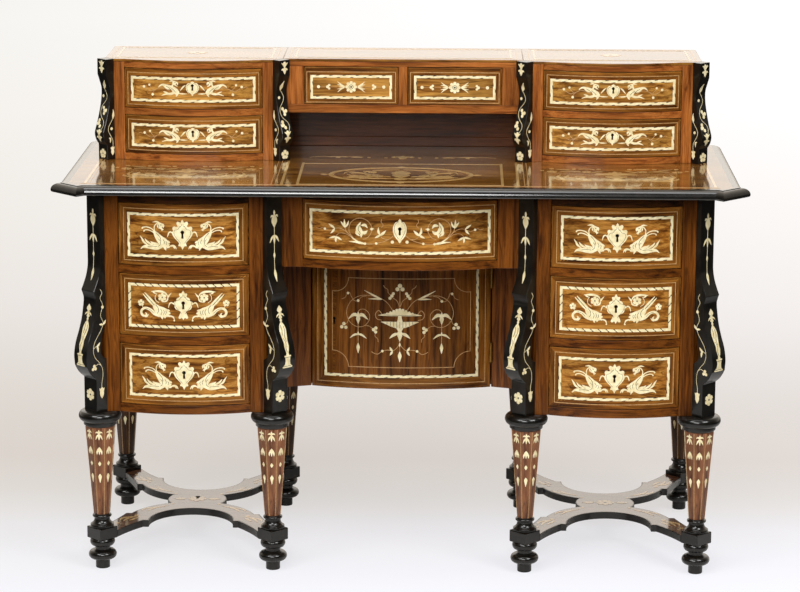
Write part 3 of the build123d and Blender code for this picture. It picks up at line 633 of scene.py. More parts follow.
pedestal_frames = Piece("pedestal_posts_and_rails", frame_rosewood, painted_shade_rosewood)
# the gradin's frames are a lighter copy of the rosewood: painted light
gradin_frames = Piece("gradin_posts_and_rails", painted_light_gradin_frame_rosewood)
for side_name, side in sides.items():
    middle = side * pedestal_x
    for post_side in (-1, 1):
        post(pedestal_frames, middle, post_side, pedestal_half, front_y, cant_leg, drawer_half,
             leg_height, top_bottom)
        post(gradin_frames, middle, post_side, gradin_half, gradin_y, gradin_cant, gradin_drawer_half,
             writing_height, gradin_top - top_board)
    for frames, face, half, cant, levels, low, high in (
            (pedestal_frames, drawer_faces[side_name], drawer_half, cant_leg, openings.values(),
             leg_height, top_bottom),
            (gradin_frames, drawer_faces["gradin_" + side_name], gradin_drawer_half, gradin_cant,
             gradin_openings.values(), writing_height, gradin_top - top_board)):
        edges = [low] + [z for opening in levels for z in opening] + [high]
        for bottom, top in zip(edges[::2], edges[1::2]):
            # the top rail under the writing top's overhang takes the painted shade finish
            frames.put(eased(face.board(middle - half, middle + half, face.front + cant, bottom, top)),
                       int(top == top_bottom))
flat_back, shelf_thickness = gradin_centre_y + gradin_thickness, 18.0
for low, high in ((flat_opening[0] - shelf_thickness, flat_opening[0]),
                  (flat_opening[1], gradin_top - top_board)):
    gradin_frames.put(eased(prism(rectangle(-gradin_gap, gradin_centre_y, gradin_gap, flat_back),
                                  low, high)))
stile = flat_x - flat_half
for left, right in ((-gradin_gap, -flat_x - flat_half), (-stile, stile),
                    (flat_x + flat_half, gradin_gap)):
    gradin_frames.put(eased(prism(rectangle(left, gradin_centre_y, right, flat_back), *flat_opening)),
                      grain="z")
pedestal_frames.make(slot="rosewood", stands_for=["pedestal_front_frames"])
gradin_frames.make(slot="rosewood", stands_for=["gradin_front_frames"])

# %% Kneehole frame
kneehole_frame = Piece("kneehole_posts_and_rails", frame_rosewood, painted_shade_rosewood)
stile_forward, stile_thickness = 20.0, 22.0
for low, high in ((frieze_bottom, frieze_opening[0]), (frieze_opening[1], top_bottom)):
    # the top rail under the writing top's overhang takes the painted shade finish
    kneehole_frame.put(eased(frieze_face.board(-frieze_half, frieze_half, frieze_y + front_thickness,
                                               low, high)), int(high == top_bottom))
for side in sides.values():
    flat = rectangle(frieze_half, frieze_y, kneehole_half, frieze_y + front_thickness)
    canted = [(door_half, cupboard_y), (kneehole_half, cupboard_y - stile_forward),
              (kneehole_half, cupboard_y - stile_forward + stile_thickness),
              (door_half, cupboard_y + stile_thickness)]
    for outline, low, high in ((flat, frieze_bottom, top_bottom), (canted, leg_height, frieze_bottom)):
        kneehole_frame.put(eased(prism([(side * x, y) for x, y in outline], low, high)), grain="z")
kneehole_frame.make(slot="rosewood", stands_for=["kneehole_front_frame"])

# %% [markdown]
# ## Drawer fronts
# Each front is a bowed board with a real keyhole through it. The hole is cut with a Boolean, the
# way a key file opens a drilled hole, so the iron lock shows behind it.


# %% Keyholes
eye_steps = 24


def keyhole_outline(width, high, low):
    """A round eye over a slot that widens downwards, as points round its middle."""
    radius = width / 2
    foot = radius * 0.62
    turn = np.linspace(-1.15 * quarter, 3.15 * quarter, eye_steps)
    eye_z = high - radius
    line = [(radius * math.cos(a), eye_z + radius * math.sin(a)) for a in turn[2:-2]]
    return line + [(-foot * 0.8, eye_z - radius), (-foot, low), (foot, low), (foot * 0.8, eye_z - radius)]


def pierce(board, outline, x, z, near, far):
    """Cuts a hole of an outline through a board, from near to far."""
    rings = [[((x + u) * MM, y * MM, (z + v) * MM) for u, v in outline] for y in (near, far)]
    points, faces = loft(rings)
    mesh = bpy.data.meshes.new("cutter")
    mesh.from_pydata(points.tolist(), [], faces)
    face_outwards(mesh)
    cutter = placed("cutter", mesh)
    cut = board.modifiers.new("keyhole", "BOOLEAN")
    cut.object, cut.operation, cut.solver = cutter, "DIFFERENCE", "EXACT"
    take_result(board)
    bpy.data.objects.remove(cutter)


def take_result(made):
    """Replaces an object's mesh by what its modifiers make of it."""
    depsgraph = bpy.context.evaluated_depsgraph_get()
    mesh = bpy.data.meshes.new_from_object(made.evaluated_get(depsgraph), preserve_all_data_layers=True,
                                           depsgraph=depsgraph)
    made.modifiers.clear()
    made.data = mesh


# %% Drawer fronts
key_above, key_below = 13, 11  # the face is divided just above and below a keyhole
cutter_margin = 5


def drawer_front(name, face, half, thickness, opening, keyhole, veneer=drawer_rosewood):
    """One front in its opening, with its keyhole where it locks."""
    low, high = opening
    key_z = (low + high) / 2 + 1
    front = Piece(f"{name}_veneered_front", veneer)
    front.put(eased(face.board(face.middle - half + reveal, face.middle + half - reveal,
                               face.front + thickness, low + reveal, high - reveal,
                               [key_z - key_below, key_z + key_above] if keyhole else ())))
    made = front.make(name, "rosewood", [f"{name}_front"])
    if keyhole:
        pierce(made, keyhole, face.middle, key_z, face.front - face.bow - cutter_margin,
               face.front + thickness + cutter_margin)


pedestal_keyhole = keyhole_outline(7.6, 9.5, -7.0)
gradin_keyhole = keyhole_outline(6.4, 10.0, -3.5)
for side_name in sides:
    for level, opening in openings.items():
        drawer_front(f"{side_name}_{level}_drawer", drawer_faces[side_name], drawer_half, front_thickness,
                     opening, pedestal_keyhole)
    # the gradin's fronts take the lighter copy of the rosewood: painted light
    for level, opening in gradin_openings.items():
        drawer_front(f"gradin_{side_name}_{level}_drawer", drawer_faces["gradin_" + side_name],
                     gradin_drawer_half, gradin_thickness, opening, gradin_keyhole, painted_light_gradin_rosewood)
    drawer_front(f"gradin_centre_{side_name}_drawer", drawer_faces["flat_" + side_name], flat_half,
                 gradin_thickness, flat_opening, None, painted_light_gradin_rosewood)
drawer_front("centre_drawer", frieze_face, frieze_half, front_thickness, frieze_opening, pedestal_keyhole)

# %% [markdown]
# ## Cupboard door
# A bowed door of even thickness, hung at its right edge and locked at its left.

# %% Door
lock_gap, hinge_gap, head_gap = 1.5, 2.4, 2.0
door_left, door_right, door_top = -door_half + lock_gap, door_half - hinge_gap, frieze_bottom - head_gap
door_keyhole_x, door_keyhole_z = -143.0, 489.0
columns = np.linspace(door_left, door_right, 61)
inner_radius = door_face.radius - door_thickness
rings = []
for x in columns:
    inner = door_face.centre_y - math.sqrt(inner_radius**2 - x**2)
    outer = float(door_face.depth(x))
    rings.append([(x, outer, leg_height), (x, outer, door_top), (x, inner, door_top),
                  (x, inner, leg_height)])
door = Piece("cupboard_door_veneered", dark_rosewood).put(eased(loft(rings)), grain="z")
door = door.make("cupboard_door", "rosewood", ["door_panel"])
pierce(door, keyhole_outline(6.6, 5.5, -11.0), door_keyhole_x, door_keyhole_z,
       cupboard_y - door_bow - 2 * cutter_margin, cupboard_y + door_thickness + 2 * cutter_margin)

# %% [markdown]
# ## Tops and edge moulding
# The writing top is a veneered field inside a black thumb moulding, which follows its outline round
# two canted ears at the front. The moulding is one section carried round the corners: at each
# corner the section is stretched along the mitre, as a mitre saw leaves it. The gradin has thin
# boards on its banks and its middle, and a small fillet hides the joint behind its open part.


# %% Outlines and mitres
def top_outline(straight, reach, half_width):
    """The top's outline, anticlockwise from the back left, a distance out from the legs."""
    root = straight - half_width * math.sqrt(2)
    near, far = (reach - half_width) / math.sqrt(2), (reach + half_width) / math.sqrt(2)
    ear = [(straight, root), (far, near), (near, far), (root, straight)]
    right = [(outer_leg_x + straight, back_leg_y + top_back_overhang)]
    right += [(outer_leg_x + u, front_leg_y - v) for u, v in ear]
    return [(-x, y) for x, y in right] + right[::-1]


def mitred(outline, section):
    """A section (inset, height) carried along an open outline and cut at each corner's mitre."""
    path = np.array(outline)
    along = np.diff(path, axis=0)
    along /= np.linalg.norm(along, axis=1)[:, None]
    inward = np.column_stack([-along[:, 1], along[:, 0]])
    rings = []
    for i, corner in enumerate(path):
        if i in (0, len(path) - 1):
            step = inward[min(i, len(inward) - 1)]
        else:
            step = (inward[i - 1] + inward[i]) / (1 + inward[i - 1] @ inward[i])
        rings.append([(*(corner + step * inset), z) for inset, z in section])
    return [loft(pair) for pair in zip(rings, rings[1:])]


# %% Writing top
outer = top_outline(board_overhang, ear_reach, ear_half_width)
inner = top_outline(board_overhang - edge_width, ear_reach - edge_width, ear_half_width - edge_width)
thumb = [(edge_width, top_bottom), (3, top_bottom), (0.8, top_bottom + 1.2), (0, top_bottom + 3.5)]
thumb += arc((0, top_bottom + 5.5), (4.2, top_bottom + 14.6), (13.5, writing_height - 1.2), 12)
thumb += [(14.5, writing_height - 1.2), (14.5, writing_height), (edge_width, writing_height)]
moulding = Piece("black_thumb_moulding", shiny_ebony)
for run in mitred(outer, thumb):
    moulding.put(run)
moulding.make(slot="ebonised_wood", stands_for=["top_edge_moulding"], smooth=0.7)
field = Piece("writing_top_veneered", top_rosewood).put(prism(inner, top_bottom, writing_height))
field.make(slot="rosewood", stands_for=["writing_top"])

# %% Gradin top
top_easing = 1.2
tops = Piece("gradin_top_veneered", top_rosewood)
for side_name, side in sides.items():
    face, middle = drawer_faces["gradin_" + side_name], side * pedestal_x
    x = np.linspace(middle - gradin_drawer_half, middle + gradin_drawer_half, bow_steps + 1)
    outline = list(zip(x, face.depth(x)))
    canted = [(gradin_half - gradin_cant, gradin_y), (gradin_half, gradin_y + gradin_cant),
              (gradin_half, gradin_back)]
    outline += [(middle + x, y) for x, y in canted] + [(middle - x, y) for x, y in reversed(canted)]
    tops.put(eased(prism(outline, gradin_top - top_board, gradin_top), top_easing))
tops.put(eased(prism(rectangle(-gradin_gap, gradin_centre_y, gradin_gap, gradin_back),
                     gradin_top - top_board, gradin_top), top_easing))
tops.make(slot="rosewood", stands_for=["gradin_top_board"])

# %% Fillet
fillet_height, fillet_depth, back_board = 21.0, 3.5, 8.0
fillet_y = gradin_back - back_board
# the fillet stands in the compartment, so it takes the boards with painted shade
fillet = Piece("gradin_back_fillet", shelf_rosewood_painted_shade)
fillet.put(eased(prism(rectangle(-gradin_gap, fillet_y - fillet_depth, gradin_gap, fillet_y),
                       writing_height, writing_height + fillet_height), 1.0))
fillet.make(slot="rosewood")

# %% [markdown]
# ## Scroll pilasters
# A console stands on each front leg: a straight head, a flared lip, a long belly that curls under,
# and a plain block. It is sawn from a thick black board to one outline, so it is that outline
# carried across the board's width, turned to the diagonal of the corner.


# %% Console outlines
def face_line(controls):
    """The visible outline of a console from the top down, as distance out and height."""
    line = []
    for run in controls:
        line += [tuple(p) for p in (flowing(run, 10) if len(run) > 2 else run)]
    return [p for i, p in enumerate(line) if i == 0 or math.dist(p, line[i - 1]) > 0.01]


lower_face = face_line([
    [(13, top_bottom), (13, 668)],
    [(13, 665), (13.6, 645), (18, 625), (25, 608), (31, 596)],
    [(31, 596), (27, 585), (25.5, 577), (27, 562), (32, 535), (40, 510), (48.6, 487), (52.8, 463),
     (51.4, 441)],
    [(51.4, 441), (46.4, 431.5), (39, 421.5), (28, 412)],
    [(28, 411), (28, leg_height)]])
lower_back = [(0, leg_height), (0, 452), (8, 456), (14, 464), (15, 480), (10, 505), (0, 530),
              (0, top_bottom)]
gradin_face = face_line([
    [(21, gradin_top), (21, 1006)],
    [(21, 1004), (16, 990), (11, 972), (13, 945), (22, 908), (29, 888), (31, 878), (28, 866), (21, 855)],
    [(21, 854), (21, writing_height)]])
gradin_back_line = [(0, writing_height), (0, gradin_top)]
print("belly stands out", max(x for x, z in lower_face), "mm")


# %% Corners
class Corner:
    """The diagonal of a case's front corner. Its points are given across, outwards and up."""

    def __init__(self, side, half, front, cant, towards_middle):
        reach = half - cant / 2
        self.x = side * (pedestal_x - reach if towards_middle else pedestal_x + reach)
        self.y = front + cant / 2
        self.out = np.array([-side if towards_middle else side, -1]) / math.sqrt(2)
        self.across = np.array([-self.out[1], self.out[0]])

    def lay(self, local):
        """Places points given across, outwards and up."""
        across, out, up = np.asarray(local, float).T
        plan = np.array([self.x, self.y]) + across[:, None] * self.across + out[:, None] * self.out
        return np.column_stack([plan, up])


def corners(half, front, cant):
    """The four diagonals of two cases."""
    return [Corner(side, half, front, cant, inwards)
            for side in sides.values() for inwards in (True, False)]


# %% Consoles
lower_corners = corners(pedestal_half, front_y, cant_leg)
gradin_corners = corners(gradin_half, gradin_y, gradin_cant)
for name, places, front_line, back_line, width, node in (
        ("lower", lower_corners, lower_face, lower_back, cant_leg * math.sqrt(2), "lower_pilasters"),
        ("gradin", gradin_corners, gradin_face, gradin_back_line, gradin_cant * math.sqrt(2),
         "gradin_pilasters")):
    consoles = Piece(f"{name}_scroll_pilasters", ebonised)
    outline = front_line + back_line
    for corner in places:
        console = eased(loft([[(x, p, z) for p, z in outline] for x in (-width / 2, width / 2)]), 0.6)
        consoles.put(console, grain="z", lay=corner.lay)
    consoles.make(slot="ebonised_wood", stands_for=[node], smooth=0.36)

# %% [markdown]
# ## Legs
# A leg is a bun foot, a square block that the stretcher meets, a tapered eight-sided shaft and a
# fat ring on top. The eight legs are alike, so one of each part is turned and a small Geometry
# Nodes tree stands a copy of it at every leg.

# %% Helpers for Geometry Nodes
def new_tree(name, **inputs):
    """A Geometry Nodes tree with named inputs, and the outputs of the node that hands them out."""
    tree = bpy.data.node_groups.new(name, "GeometryNodeTree")
    for title, kind in inputs.items():
        tree.interface.new_socket(name=title, in_out="INPUT", socket_type="NodeSocket" + kind)
    tree.interface.new_socket(name="Made", in_out="OUTPUT", socket_type="NodeSocketGeometry")
    return tree, add(tree, "NodeGroupInput").outputs


def end_tree(tree, copies, material):
    """Makes the copies real, gives them their finish and hands them on."""
    real = add(tree, "GeometryNodeRealizeInstances", {"Geometry": copies})
    dressed = add(tree, "GeometryNodeSetMaterial", {"Geometry": real, "Material": material})
    add(tree, "NodeGroupOutput", {"Made": dressed})
    print(tree.name, "has", len(tree.nodes), "nodes")


def run_tree(made, tree, **values):
    """Runs a tree on an object and keeps the result. Inputs are set by their sockets' identifiers."""
    growth = made.modifiers.new(tree.name, "NODES")
    growth.node_group = tree
    identifiers = {item.name: item.identifier for item in tree.interface.items_tree}
    for name, value in values.items():
        growth[identifiers[name]] = value
    take_result(made)


# %% One tree that repeats a part at given places
repeat_tree, given = new_tree("part_at_each_place", Places="Geometry", Part="Object", Finish="Material")
part_info = add(repeat_tree, "GeometryNodeObjectInfo", {"Object": given["Part"]})
copies = add(repeat_tree, "GeometryNodeInstanceOnPoints", {
    "Points": given["Places"], "Instance": part_info.outputs["Geometry"]})
end_tree(repeat_tree, copies, given["Finish"])


def repeat(piece, places, material):
    """Copies of a piece at places in plan, as one plain mesh under the piece's name."""
    part = piece.make()
    part.parent = None
    mesh = bpy.data.meshes.new(piece.name + "_places")
    mesh.from_pydata([(x * MM, y * MM, 0.0) for x, y in places], [], [])
    made = placed(piece.name + "_all", mesh)
    run_tree(made, repeat_tree, Part=part, Finish=material)
    bpy.data.objects.remove(part)
    bpy.context.scene.collection.objects.unlink(made)
    return made


# %% Turned and square parts
foot_top, block_size, block_height = 64.0, 46.0, 25.0
shaft_bottom, shaft_top, shaft_flats = 118.0, 308.0, (32.5, 60.0)
foot_line = [(14.0, 0), (14.8, 0.8), (14.8, 17), (21, 19.5)]
foot_line += arc((21.2, 19.7), (29.3, 28.5), (21.2, 38.3), 12)
foot_line += [(19.5, 39), (15.5, 41), (15.5, 47), (22.6, 49.6)]
foot_line += arc((23, 50), (26, 56), (24, foot_top - 0.6), 6) + [(23.4, foot_top)]
bell_line = [(21.5, foot_top + block_height), (24.5, 90.5), (24.5, 94.5)]
bell_line += arc((24.3, 94.8), (19.5, 98.5), (16, 107), 8) + [(16, 109.5)]
bell_line += arc((16.4, 109.7), (20, 113), (16.4, 116.3), 8) + [(15.9, 116.6), (15.9, shaft_bottom)]
ring_low = shaft_top + 11
capital_line = [(30.6, shaft_top), (31.2, shaft_top + 0.4), (34.3, shaft_top + 2.8), (34.5, shaft_top + 3.4),
                (34.5, ring_low - 0.5), (35, ring_low), (37, ring_low)]
capital_line += arc((38, ring_low), (capital_radius, (ring_low + leg_height) / 2), (38, leg_height), 16)
for name, profile, node in (("turned_bun_feet", foot_line, "bun_feet"),
                            ("turned_capitals", capital_line, "leg_capitals")):
    feet = repeat(Piece(name, ebonised).put(turned(profile)), leg_places, ebonised)
    settle(feet, "desk", [node])
diagonal = block_size / math.sqrt(2)
square = prism([(diagonal, 0), (0, diagonal), (-diagonal, 0), (0, -diagonal)], foot_top,
               foot_top + block_height)
blocks = Piece("square_blocks_and_bells", ebonised).put(eased(square, 1.4)).put(turned(bell_line))
settle(repeat(blocks, leg_places, ebonised), "desk", ["leg_blocks"])


# %% Shafts
def shaft_ring(z):
    """The eight corners of the shaft at a height, a flat towards the sitter."""
    share = (z - shaft_bottom) / (shaft_top - shaft_bottom)
    reach = (shaft_flats[0] + share * (shaft_flats[1] - shaft_flats[0])) / 2
    reach /= math.cos(math.pi / 8)
    return [(reach * math.cos(a), reach * math.sin(a), z)
            for a in math.pi / 8 + quarter / 2 * np.arange(8)]


# the back shafts wear the darker copy of the leg wood: painted shade
for row, row_y, veneer in (("front", front_leg_y, leg_rosewood), ("back", back_leg_y, back_leg_rosewood_painted_shade)):
    shaft = Piece(f"{row}_octagonal_shafts", veneer)
    shaft.put(eased(loft([shaft_ring(z) for z in (shaft_bottom, shaft_top)]), 0.5), grain="z")
    row_places = [(x, y) for x, y in leg_places if y == row_y]
    settle(repeat(shaft, row_places, veneer), "desk", ["leg_shafts"])

# %% [markdown]
# ## Stretchers
# Between the four legs of a bank lies a flat X: a round medallion between two arches, whose arms
# end in small steps. It is black, with a veneered face let into its top.

# %% Outline of a stretcher
stretcher_top, stretcher_thickness = 80.0, 15.0
veneer_margin, veneer_rise = 2.5, 0.15
medallion_radius, arch_centre, arch_inner, arch_outer = 63.5, 160.0, 89.0, 140.0
nib, outer_step = 11.5, 110.0


def stretcher_outline(inset=0.0):
    """The outline of a stretcher about its middle, drawn for one quarter and mirrored."""
    spread, along = (outer_leg_x - inner_leg_x) / 2, leg_row_spacing / 2
    face = block_size / 2 * math.sqrt(2)
    medallion, inner_arch, outer_arch = medallion_radius - inset, arch_inner + inset, arch_outer - inset
    meet_y = (medallion**2 + arch_centre**2 - outer_arch**2) / (2 * arch_centre)
    meet_x = math.sqrt(medallion**2 - meet_y**2)
    step_x = math.sqrt(outer_arch**2 - (arch_centre - outer_step) ** 2)
    block_front, block_side = (spread - face, -along + inset), (spread - inset, -(along - face))
    quarter_line = [(inner_arch * math.sin(a), -arch_centre + inner_arch * math.cos(a))
                    for a in np.linspace(0, quarter, 16)]
    quarter_line += [(inner_arch, -arch_centre - 3 + inset), (inner_arch + nib, -arch_centre - 3 + inset)]
    middle = ((inner_arch + nib + block_front[0]) / 2 + 2, (-arch_centre - 3 - along) / 2 + 2 + inset)
    quarter_line += arc(quarter_line[-1], middle, block_front, 6)[1:]
    middle = ((spread + step_x + nib) / 2 - 1 - inset, (-(along - face) - outer_step) / 2 - 1.5)
    quarter_line += arc(block_side, middle, (step_x + nib, -outer_step - inset), 6)
    quarter_line += [(step_x, -outer_step - inset)]
    bend = [(arch_centre - outer_step, step_x), (arch_centre - meet_y, meet_x)]
    turns = [math.atan2(x, y) for y, x in bend]
    quarter_line += [(outer_arch * math.sin(a), -arch_centre + outer_arch * math.cos(a))
                     for a in np.linspace(turns[0], turns[1], 14)[1:]]
    quarter_line += [(medallion * math.sin(a), -medallion * math.cos(a))
                     for a in np.linspace(math.atan2(meet_x, meet_y), quarter, 6)[1:-1]]
    upper = [(x, -y) for x, y in reversed(quarter_line)]
    right_half = quarter_line[1:] + [(medallion, 0)] + upper[:-1]
    left_half = [(-x, y) for x, y in reversed(right_half)]
    return [(0, quarter_line[0][1])] + right_half + [(0, upper[-1][1])] + left_half


# %% Stretchers
stretcher_y = (front_leg_y + back_leg_y) / 2
for side_name, side in sides.items():
    stretcher = Piece(f"{side_name}_stretcher_veneered", ebonised, stretcher_rosewood)
    for skin, inset, low, high in ((0, 0.0, stretcher_top - stretcher_thickness, stretcher_top),
                                   (1, veneer_margin, stretcher_top - 1, stretcher_top + veneer_rise)):
        outline = [(side * pedestal_x + x, stretcher_y + y) for x, y in stretcher_outline(inset)]
        part = prism(outline, low, high)
        stretcher.put(eased(part, 0.8) if skin == 0 else part, skin)
    stretcher.make(slot="ebonised_wood", stands_for=[f"{side_name}_x_stretcher"])

# %% [markdown]
# ## Inlay: a small pattern language
# The ornament is marquetry: leaves, birds and urns fretsawn from bone, let into the wood and then
# engraved. A pattern sheet below is a few lines of text, one stroke to a line: what kind of stroke
# it is, how wide, and the points it runs through, in millimetres from the pattern's own middle. A
# line that ends in a comma goes on in the next. Every stroke becomes a thin closed slip, a few
# tenths of a millimetre proud of the wood.


# %% Slips of inlay
BONE, LINE, INK, VENEER = 0, 1, 2, 3
slip_height = {BONE: 0.30, LINE: 0.16, INK: 0.40, VENEER: 0.06}
slip_depth = -0.35  # the slips reach this far into the wood
slip_step, slip_levels = 0.002, 23  # how much higher the next slip is, and when that begins again


class Slips(Piece):
    """Slips of bone, boxwood and mastic for one surface. lay presses the flat work onto it."""

    def __init__(self, name, lay, pale=None):
        super().__init__(name, pale or bone, boxwood, mastic, border_rosewood)
        self.press, self.strokes = lay, 0

    def slip(self, left, right, skin, closed=False, grain="x"):
        """A slip between two lines. Each next slip is a hair higher, so that no two faces meet."""
        self.strokes += 1
        top = slip_height[skin] + slip_step * (self.strokes % slip_levels)
        rings = [[(*a, slip_depth), (*a, top), (*((a + b) / 2), top), (*b, top), (*b, slip_depth)]
                 for a, b in zip(np.asarray(left, float), np.asarray(right, float))]
        self.put(loft(rings, closed), skin, grain, self.press)

    def stroke(self, rows, skin, closed=False):
        """A slip along rows of u, v and width. A broad end is rounded."""
        rows = np.asarray(rows, float)
        if not closed:
            for end, step in ((0, rows[0] - rows[1]), (-1, rows[-1] - rows[-2])):
                width = rows[end, 2]
                if width > 1.2:
                    step = step[:2] / (np.linalg.norm(step[:2]) or 1)
                    tip = [[*(rows[end, :2] + step * width * d), width * w]
                           for d, w in ((0.25, 0.87), (0.43, 0.5), (0.5, 0.05))]
                    rows = np.vstack([tip[::-1], rows]) if end == 0 else np.vstack([rows, tip])
        way = np.gradient(rows[:, :2], axis=0)
        if closed:
            way = np.roll(rows[:, :2], -1, 0) - np.roll(rows[:, :2], 1, 0)
        way /= np.maximum(np.linalg.norm(way, axis=1), 1e-9)[:, None]
        side = np.column_stack([-way[:, 1], way[:, 0]]) * rows[:, 2:] / 2
        self.slip(rows[:, :2] + side, rows[:, :2] - side, skin, closed)

    def disc(self, u, v, radius, skin=BONE, sides=14):
        """A round slip."""
        turn = np.linspace(0, math.pi, sides // 2 + 1)
        across, up = radius * np.sin(turn), radius * np.cos(turn)
        self.slip(np.column_stack([u + across, v + up]), np.column_stack([u - across, v + up]), skin)

    def ring(self, u, v, across, up, width, skin=BONE, sides=72):
        """An oval ring."""
        turn = np.linspace(0, 2 * math.pi, sides, endpoint=False)
        rows = [(u + across * math.cos(a), v + up * math.sin(a), width) for a in turn]
        self.stroke(rows, skin, closed=True)

    def pierced(self, outline, hole, u, v):
        """A slip with an outline (its right half, from the top down) and a keyhole through it."""
        outline = np.array(outline + [(-x, y) for x, y in outline[-2:0:-1]], float)
        hole = np.array(hole, float)
        hole = np.roll(hole[::-1], -np.argmax(hole[::-1, 1]), 0)
        loops = []
        for loop in (outline, hole):
            loop = np.vstack([loop, loop[:1]])
            run = np.concatenate([[0], np.cumsum(np.linalg.norm(np.diff(loop, axis=0), axis=1))])
            at = np.linspace(0, run[-1], 96, endpoint=False)
            loops.append(np.column_stack([np.interp(at, run, loop[:, i]) for i in (0, 1)]) + (u, v))
        self.slip(*loops, BONE, closed=True)

    def frame(self, outer, inner, skin=BONE):
        """Four mitred strips between two rectangles, each given as left, bottom, right and top."""
        (u0, v0, u1, v1), (p0, q0, p1, q1) = outer, inner
        for grain, a, b, c, d in (("x", (u0, v0), (u1, v0), (p0, q0), (p1, q0)),
                                  ("y", (u1, v0), (u1, v1), (p1, q0), (p1, q1)),
                                  ("x", (u1, v1), (u0, v1), (p1, q1), (p0, q1)),
                                  ("y", (u0, v1), (u0, v0), (p0, q1), (p0, q0))):
            t = np.linspace(0, 1, max(2, int(math.dist(a, b) / 7)))[:, None]
            self.slip(np.array(a) + t * np.subtract(b, a), np.array(c) + t * np.subtract(d, c), skin,
                      grain=grain)


# %% Drawing from a pattern sheet
# along a petal, as shares of its length, and how wide it is there
petal_shape = ((0.12, 0.15), (0.45, 0.62), (0.75, 0.86), (0.93, 0.6), (1.0, 0.1))


class Inlay(Slips):
    """The inlay of one surface, drawn from pattern sheets."""

    def draw(self, pattern, u=0.0, v=0.0, flips=(1,), size=1.0, steps=4):
        """Draws a pattern sheet about a point; a flip of -1 draws it mirrored."""
        for flip in flips:
            for row in pattern.strip().replace(",\n", ", ").splitlines():
                kind, _, rest = row.partition(":")
                kind, *numbers = kind.split()
                points = [[float(n) for n in p.split()] for p in rest.split(",")]
                width = float(numbers[0]) if numbers else 0.0
                for p in points:
                    p[0], p[1] = u + flip * size * p[0], v + size * p[1]
                self.draw_stroke(kind, width * (1 if kind == "rose" else size), points, steps, size)

    def draw_stroke(self, kind, width, points, steps, size):
        """One stroke of a pattern sheet. The width of a rose is the number of its petals. A leaf swells
        in the middle, a shape has a width at each point, and stems, lines and ink are even."""
        if kind == "dot":
            for u, v, radius in points:
                self.disc(u, v, radius * size)
        elif kind == "rose":
            for u, v, radius in points:
                for turn in np.arange(width) * 2 * math.pi / width + quarter:
                    way, petal = np.array([math.cos(turn), math.sin(turn)]), radius * size
                    rows = [(u + way[0] * d * petal, v + way[1] * d * petal, w * petal * 5.4 / (width + 0.4))
                            for d, w in petal_shape]
                    self.stroke(rows, BONE)
                self.disc(u, v, radius * size * 0.17, INK, sides=8)
        elif kind == "shape":
            rows = flowing([(u, v, w * size) for u, v, w in points], steps)
            self.stroke(rows, BONE)
        else:
            line = flowing(points, steps)
            t = np.linspace(0, 1, len(line))
            swell = 0.12 + 0.88 * np.sin(math.pi * np.clip(t, 0.01, 0.99) ** 0.8)
            widths = (swell if kind == "leaf" else np.ones_like(t)) * width
            skin = {"ink": INK, "line": LINE}.get(kind, BONE)
            self.stroke(np.column_stack([line[:, :2], widths]), skin)


# %% [markdown]
# ## Banding
# Each panel is framed by a bone band with dark notches: pairs of small wedges cut in from either
# edge, so that the band looks like a twisted ribbon, or plain slanting bars, so that it looks like
# rope. The notches repeat along a path, which is work for Geometry Nodes: every side of the frame
# is divided at an even pitch, a notch stands at each point along the path, and every other one is
# turned end for end.

# %% One tree that cuts notches along a band
notch_tree, given = new_tree("notches_along_a_band", Path="Geometry", Notch="Object", Pitch="Float",
                             Turn="Float", Finish="Material")
path = add(notch_tree, "GeometryNodeMeshToCurve", {"Mesh": given["Path"]})
divided = add(notch_tree, "GeometryNodeResampleCurve", {
    "Curve": path, "Length": given["Pitch"]}, mode="LENGTH")
corner_points = add(notch_tree, "GeometryNodeCurveEndpointSelection", {"Start Size": 1, "End Size": 1})
between = add(notch_tree, "FunctionNodeBooleanMath", {0: corner_points}, operation="NOT")
tangent = add(notch_tree, "GeometryNodeInputTangent")
facing = add(notch_tree, "FunctionNodeAlignRotationToVector", {"Vector": tangent}, axis="X")
number = add(notch_tree, "GeometryNodeInputIndex")
odd = add(notch_tree, "ShaderNodeMath", {0: number, 1: 2.0}, operation="MODULO")
angle = add(notch_tree, "ShaderNodeMath", {0: odd, 1: given["Turn"]}, operation="MULTIPLY")
around = add(notch_tree, "ShaderNodeCombineXYZ", {"Z": angle})
turned_over = add(notch_tree, "FunctionNodeRotateRotation", {
    "Rotation": facing, "Rotate By": around}, rotation_space="LOCAL")
notch_info = add(notch_tree, "GeometryNodeObjectInfo", {"Object": given["Notch"]})
stood = add(notch_tree, "GeometryNodeInstanceOnPoints", {
    "Points": divided, "Selection": between,
    "Instance": notch_info.outputs["Geometry"], "Rotation": turned_over})
end_tree(notch_tree, stood, given["Finish"])


# %% Notches
def flat_object(name, points, edges=(), faces=()):
    """An object of flat work, in millimetres, for a tree to read."""
    mesh = bpy.data.meshes.new(name)
    mesh.from_pydata([tuple(p) for p in points], list(edges), list(faces))
    return placed(name, mesh)


def notch(name, outline):
    """A notch template: a thin prism of an outline that is drawn about the band's centre line."""
    outline = np.array(outline, float)
    points, faces = loft([np.column_stack([outline, np.full(len(outline), z)])
                          for z in (slip_depth, slip_height[INK])])
    return flat_object(name, points, faces=faces)


ribbon_notch = notch("ribbon_notch", [(-4.6, -2.9), (2.4, -2.9), (5.4, -1.9), (3.0, -1.4), (0.2, -1.6),
                                      (-2.6, -2.2)])
rope_notch = notch("rope_notch", [(4.8, -2.9), (1.2, -2.9), (0.2, -0.8), (-4.8, 2.9), (-1.2, 2.9),
                                  (-0.2, 0.8)])
ribbon_pitch, rope_pitch = 13.0, 16.0


# %% Bands and frames
def shrunk(edges, width):
    """A rectangle (left, bottom, right, top) made smaller all round."""
    return tuple(value + step * width for value, step in zip(edges, (1, 1, -1, -1)))


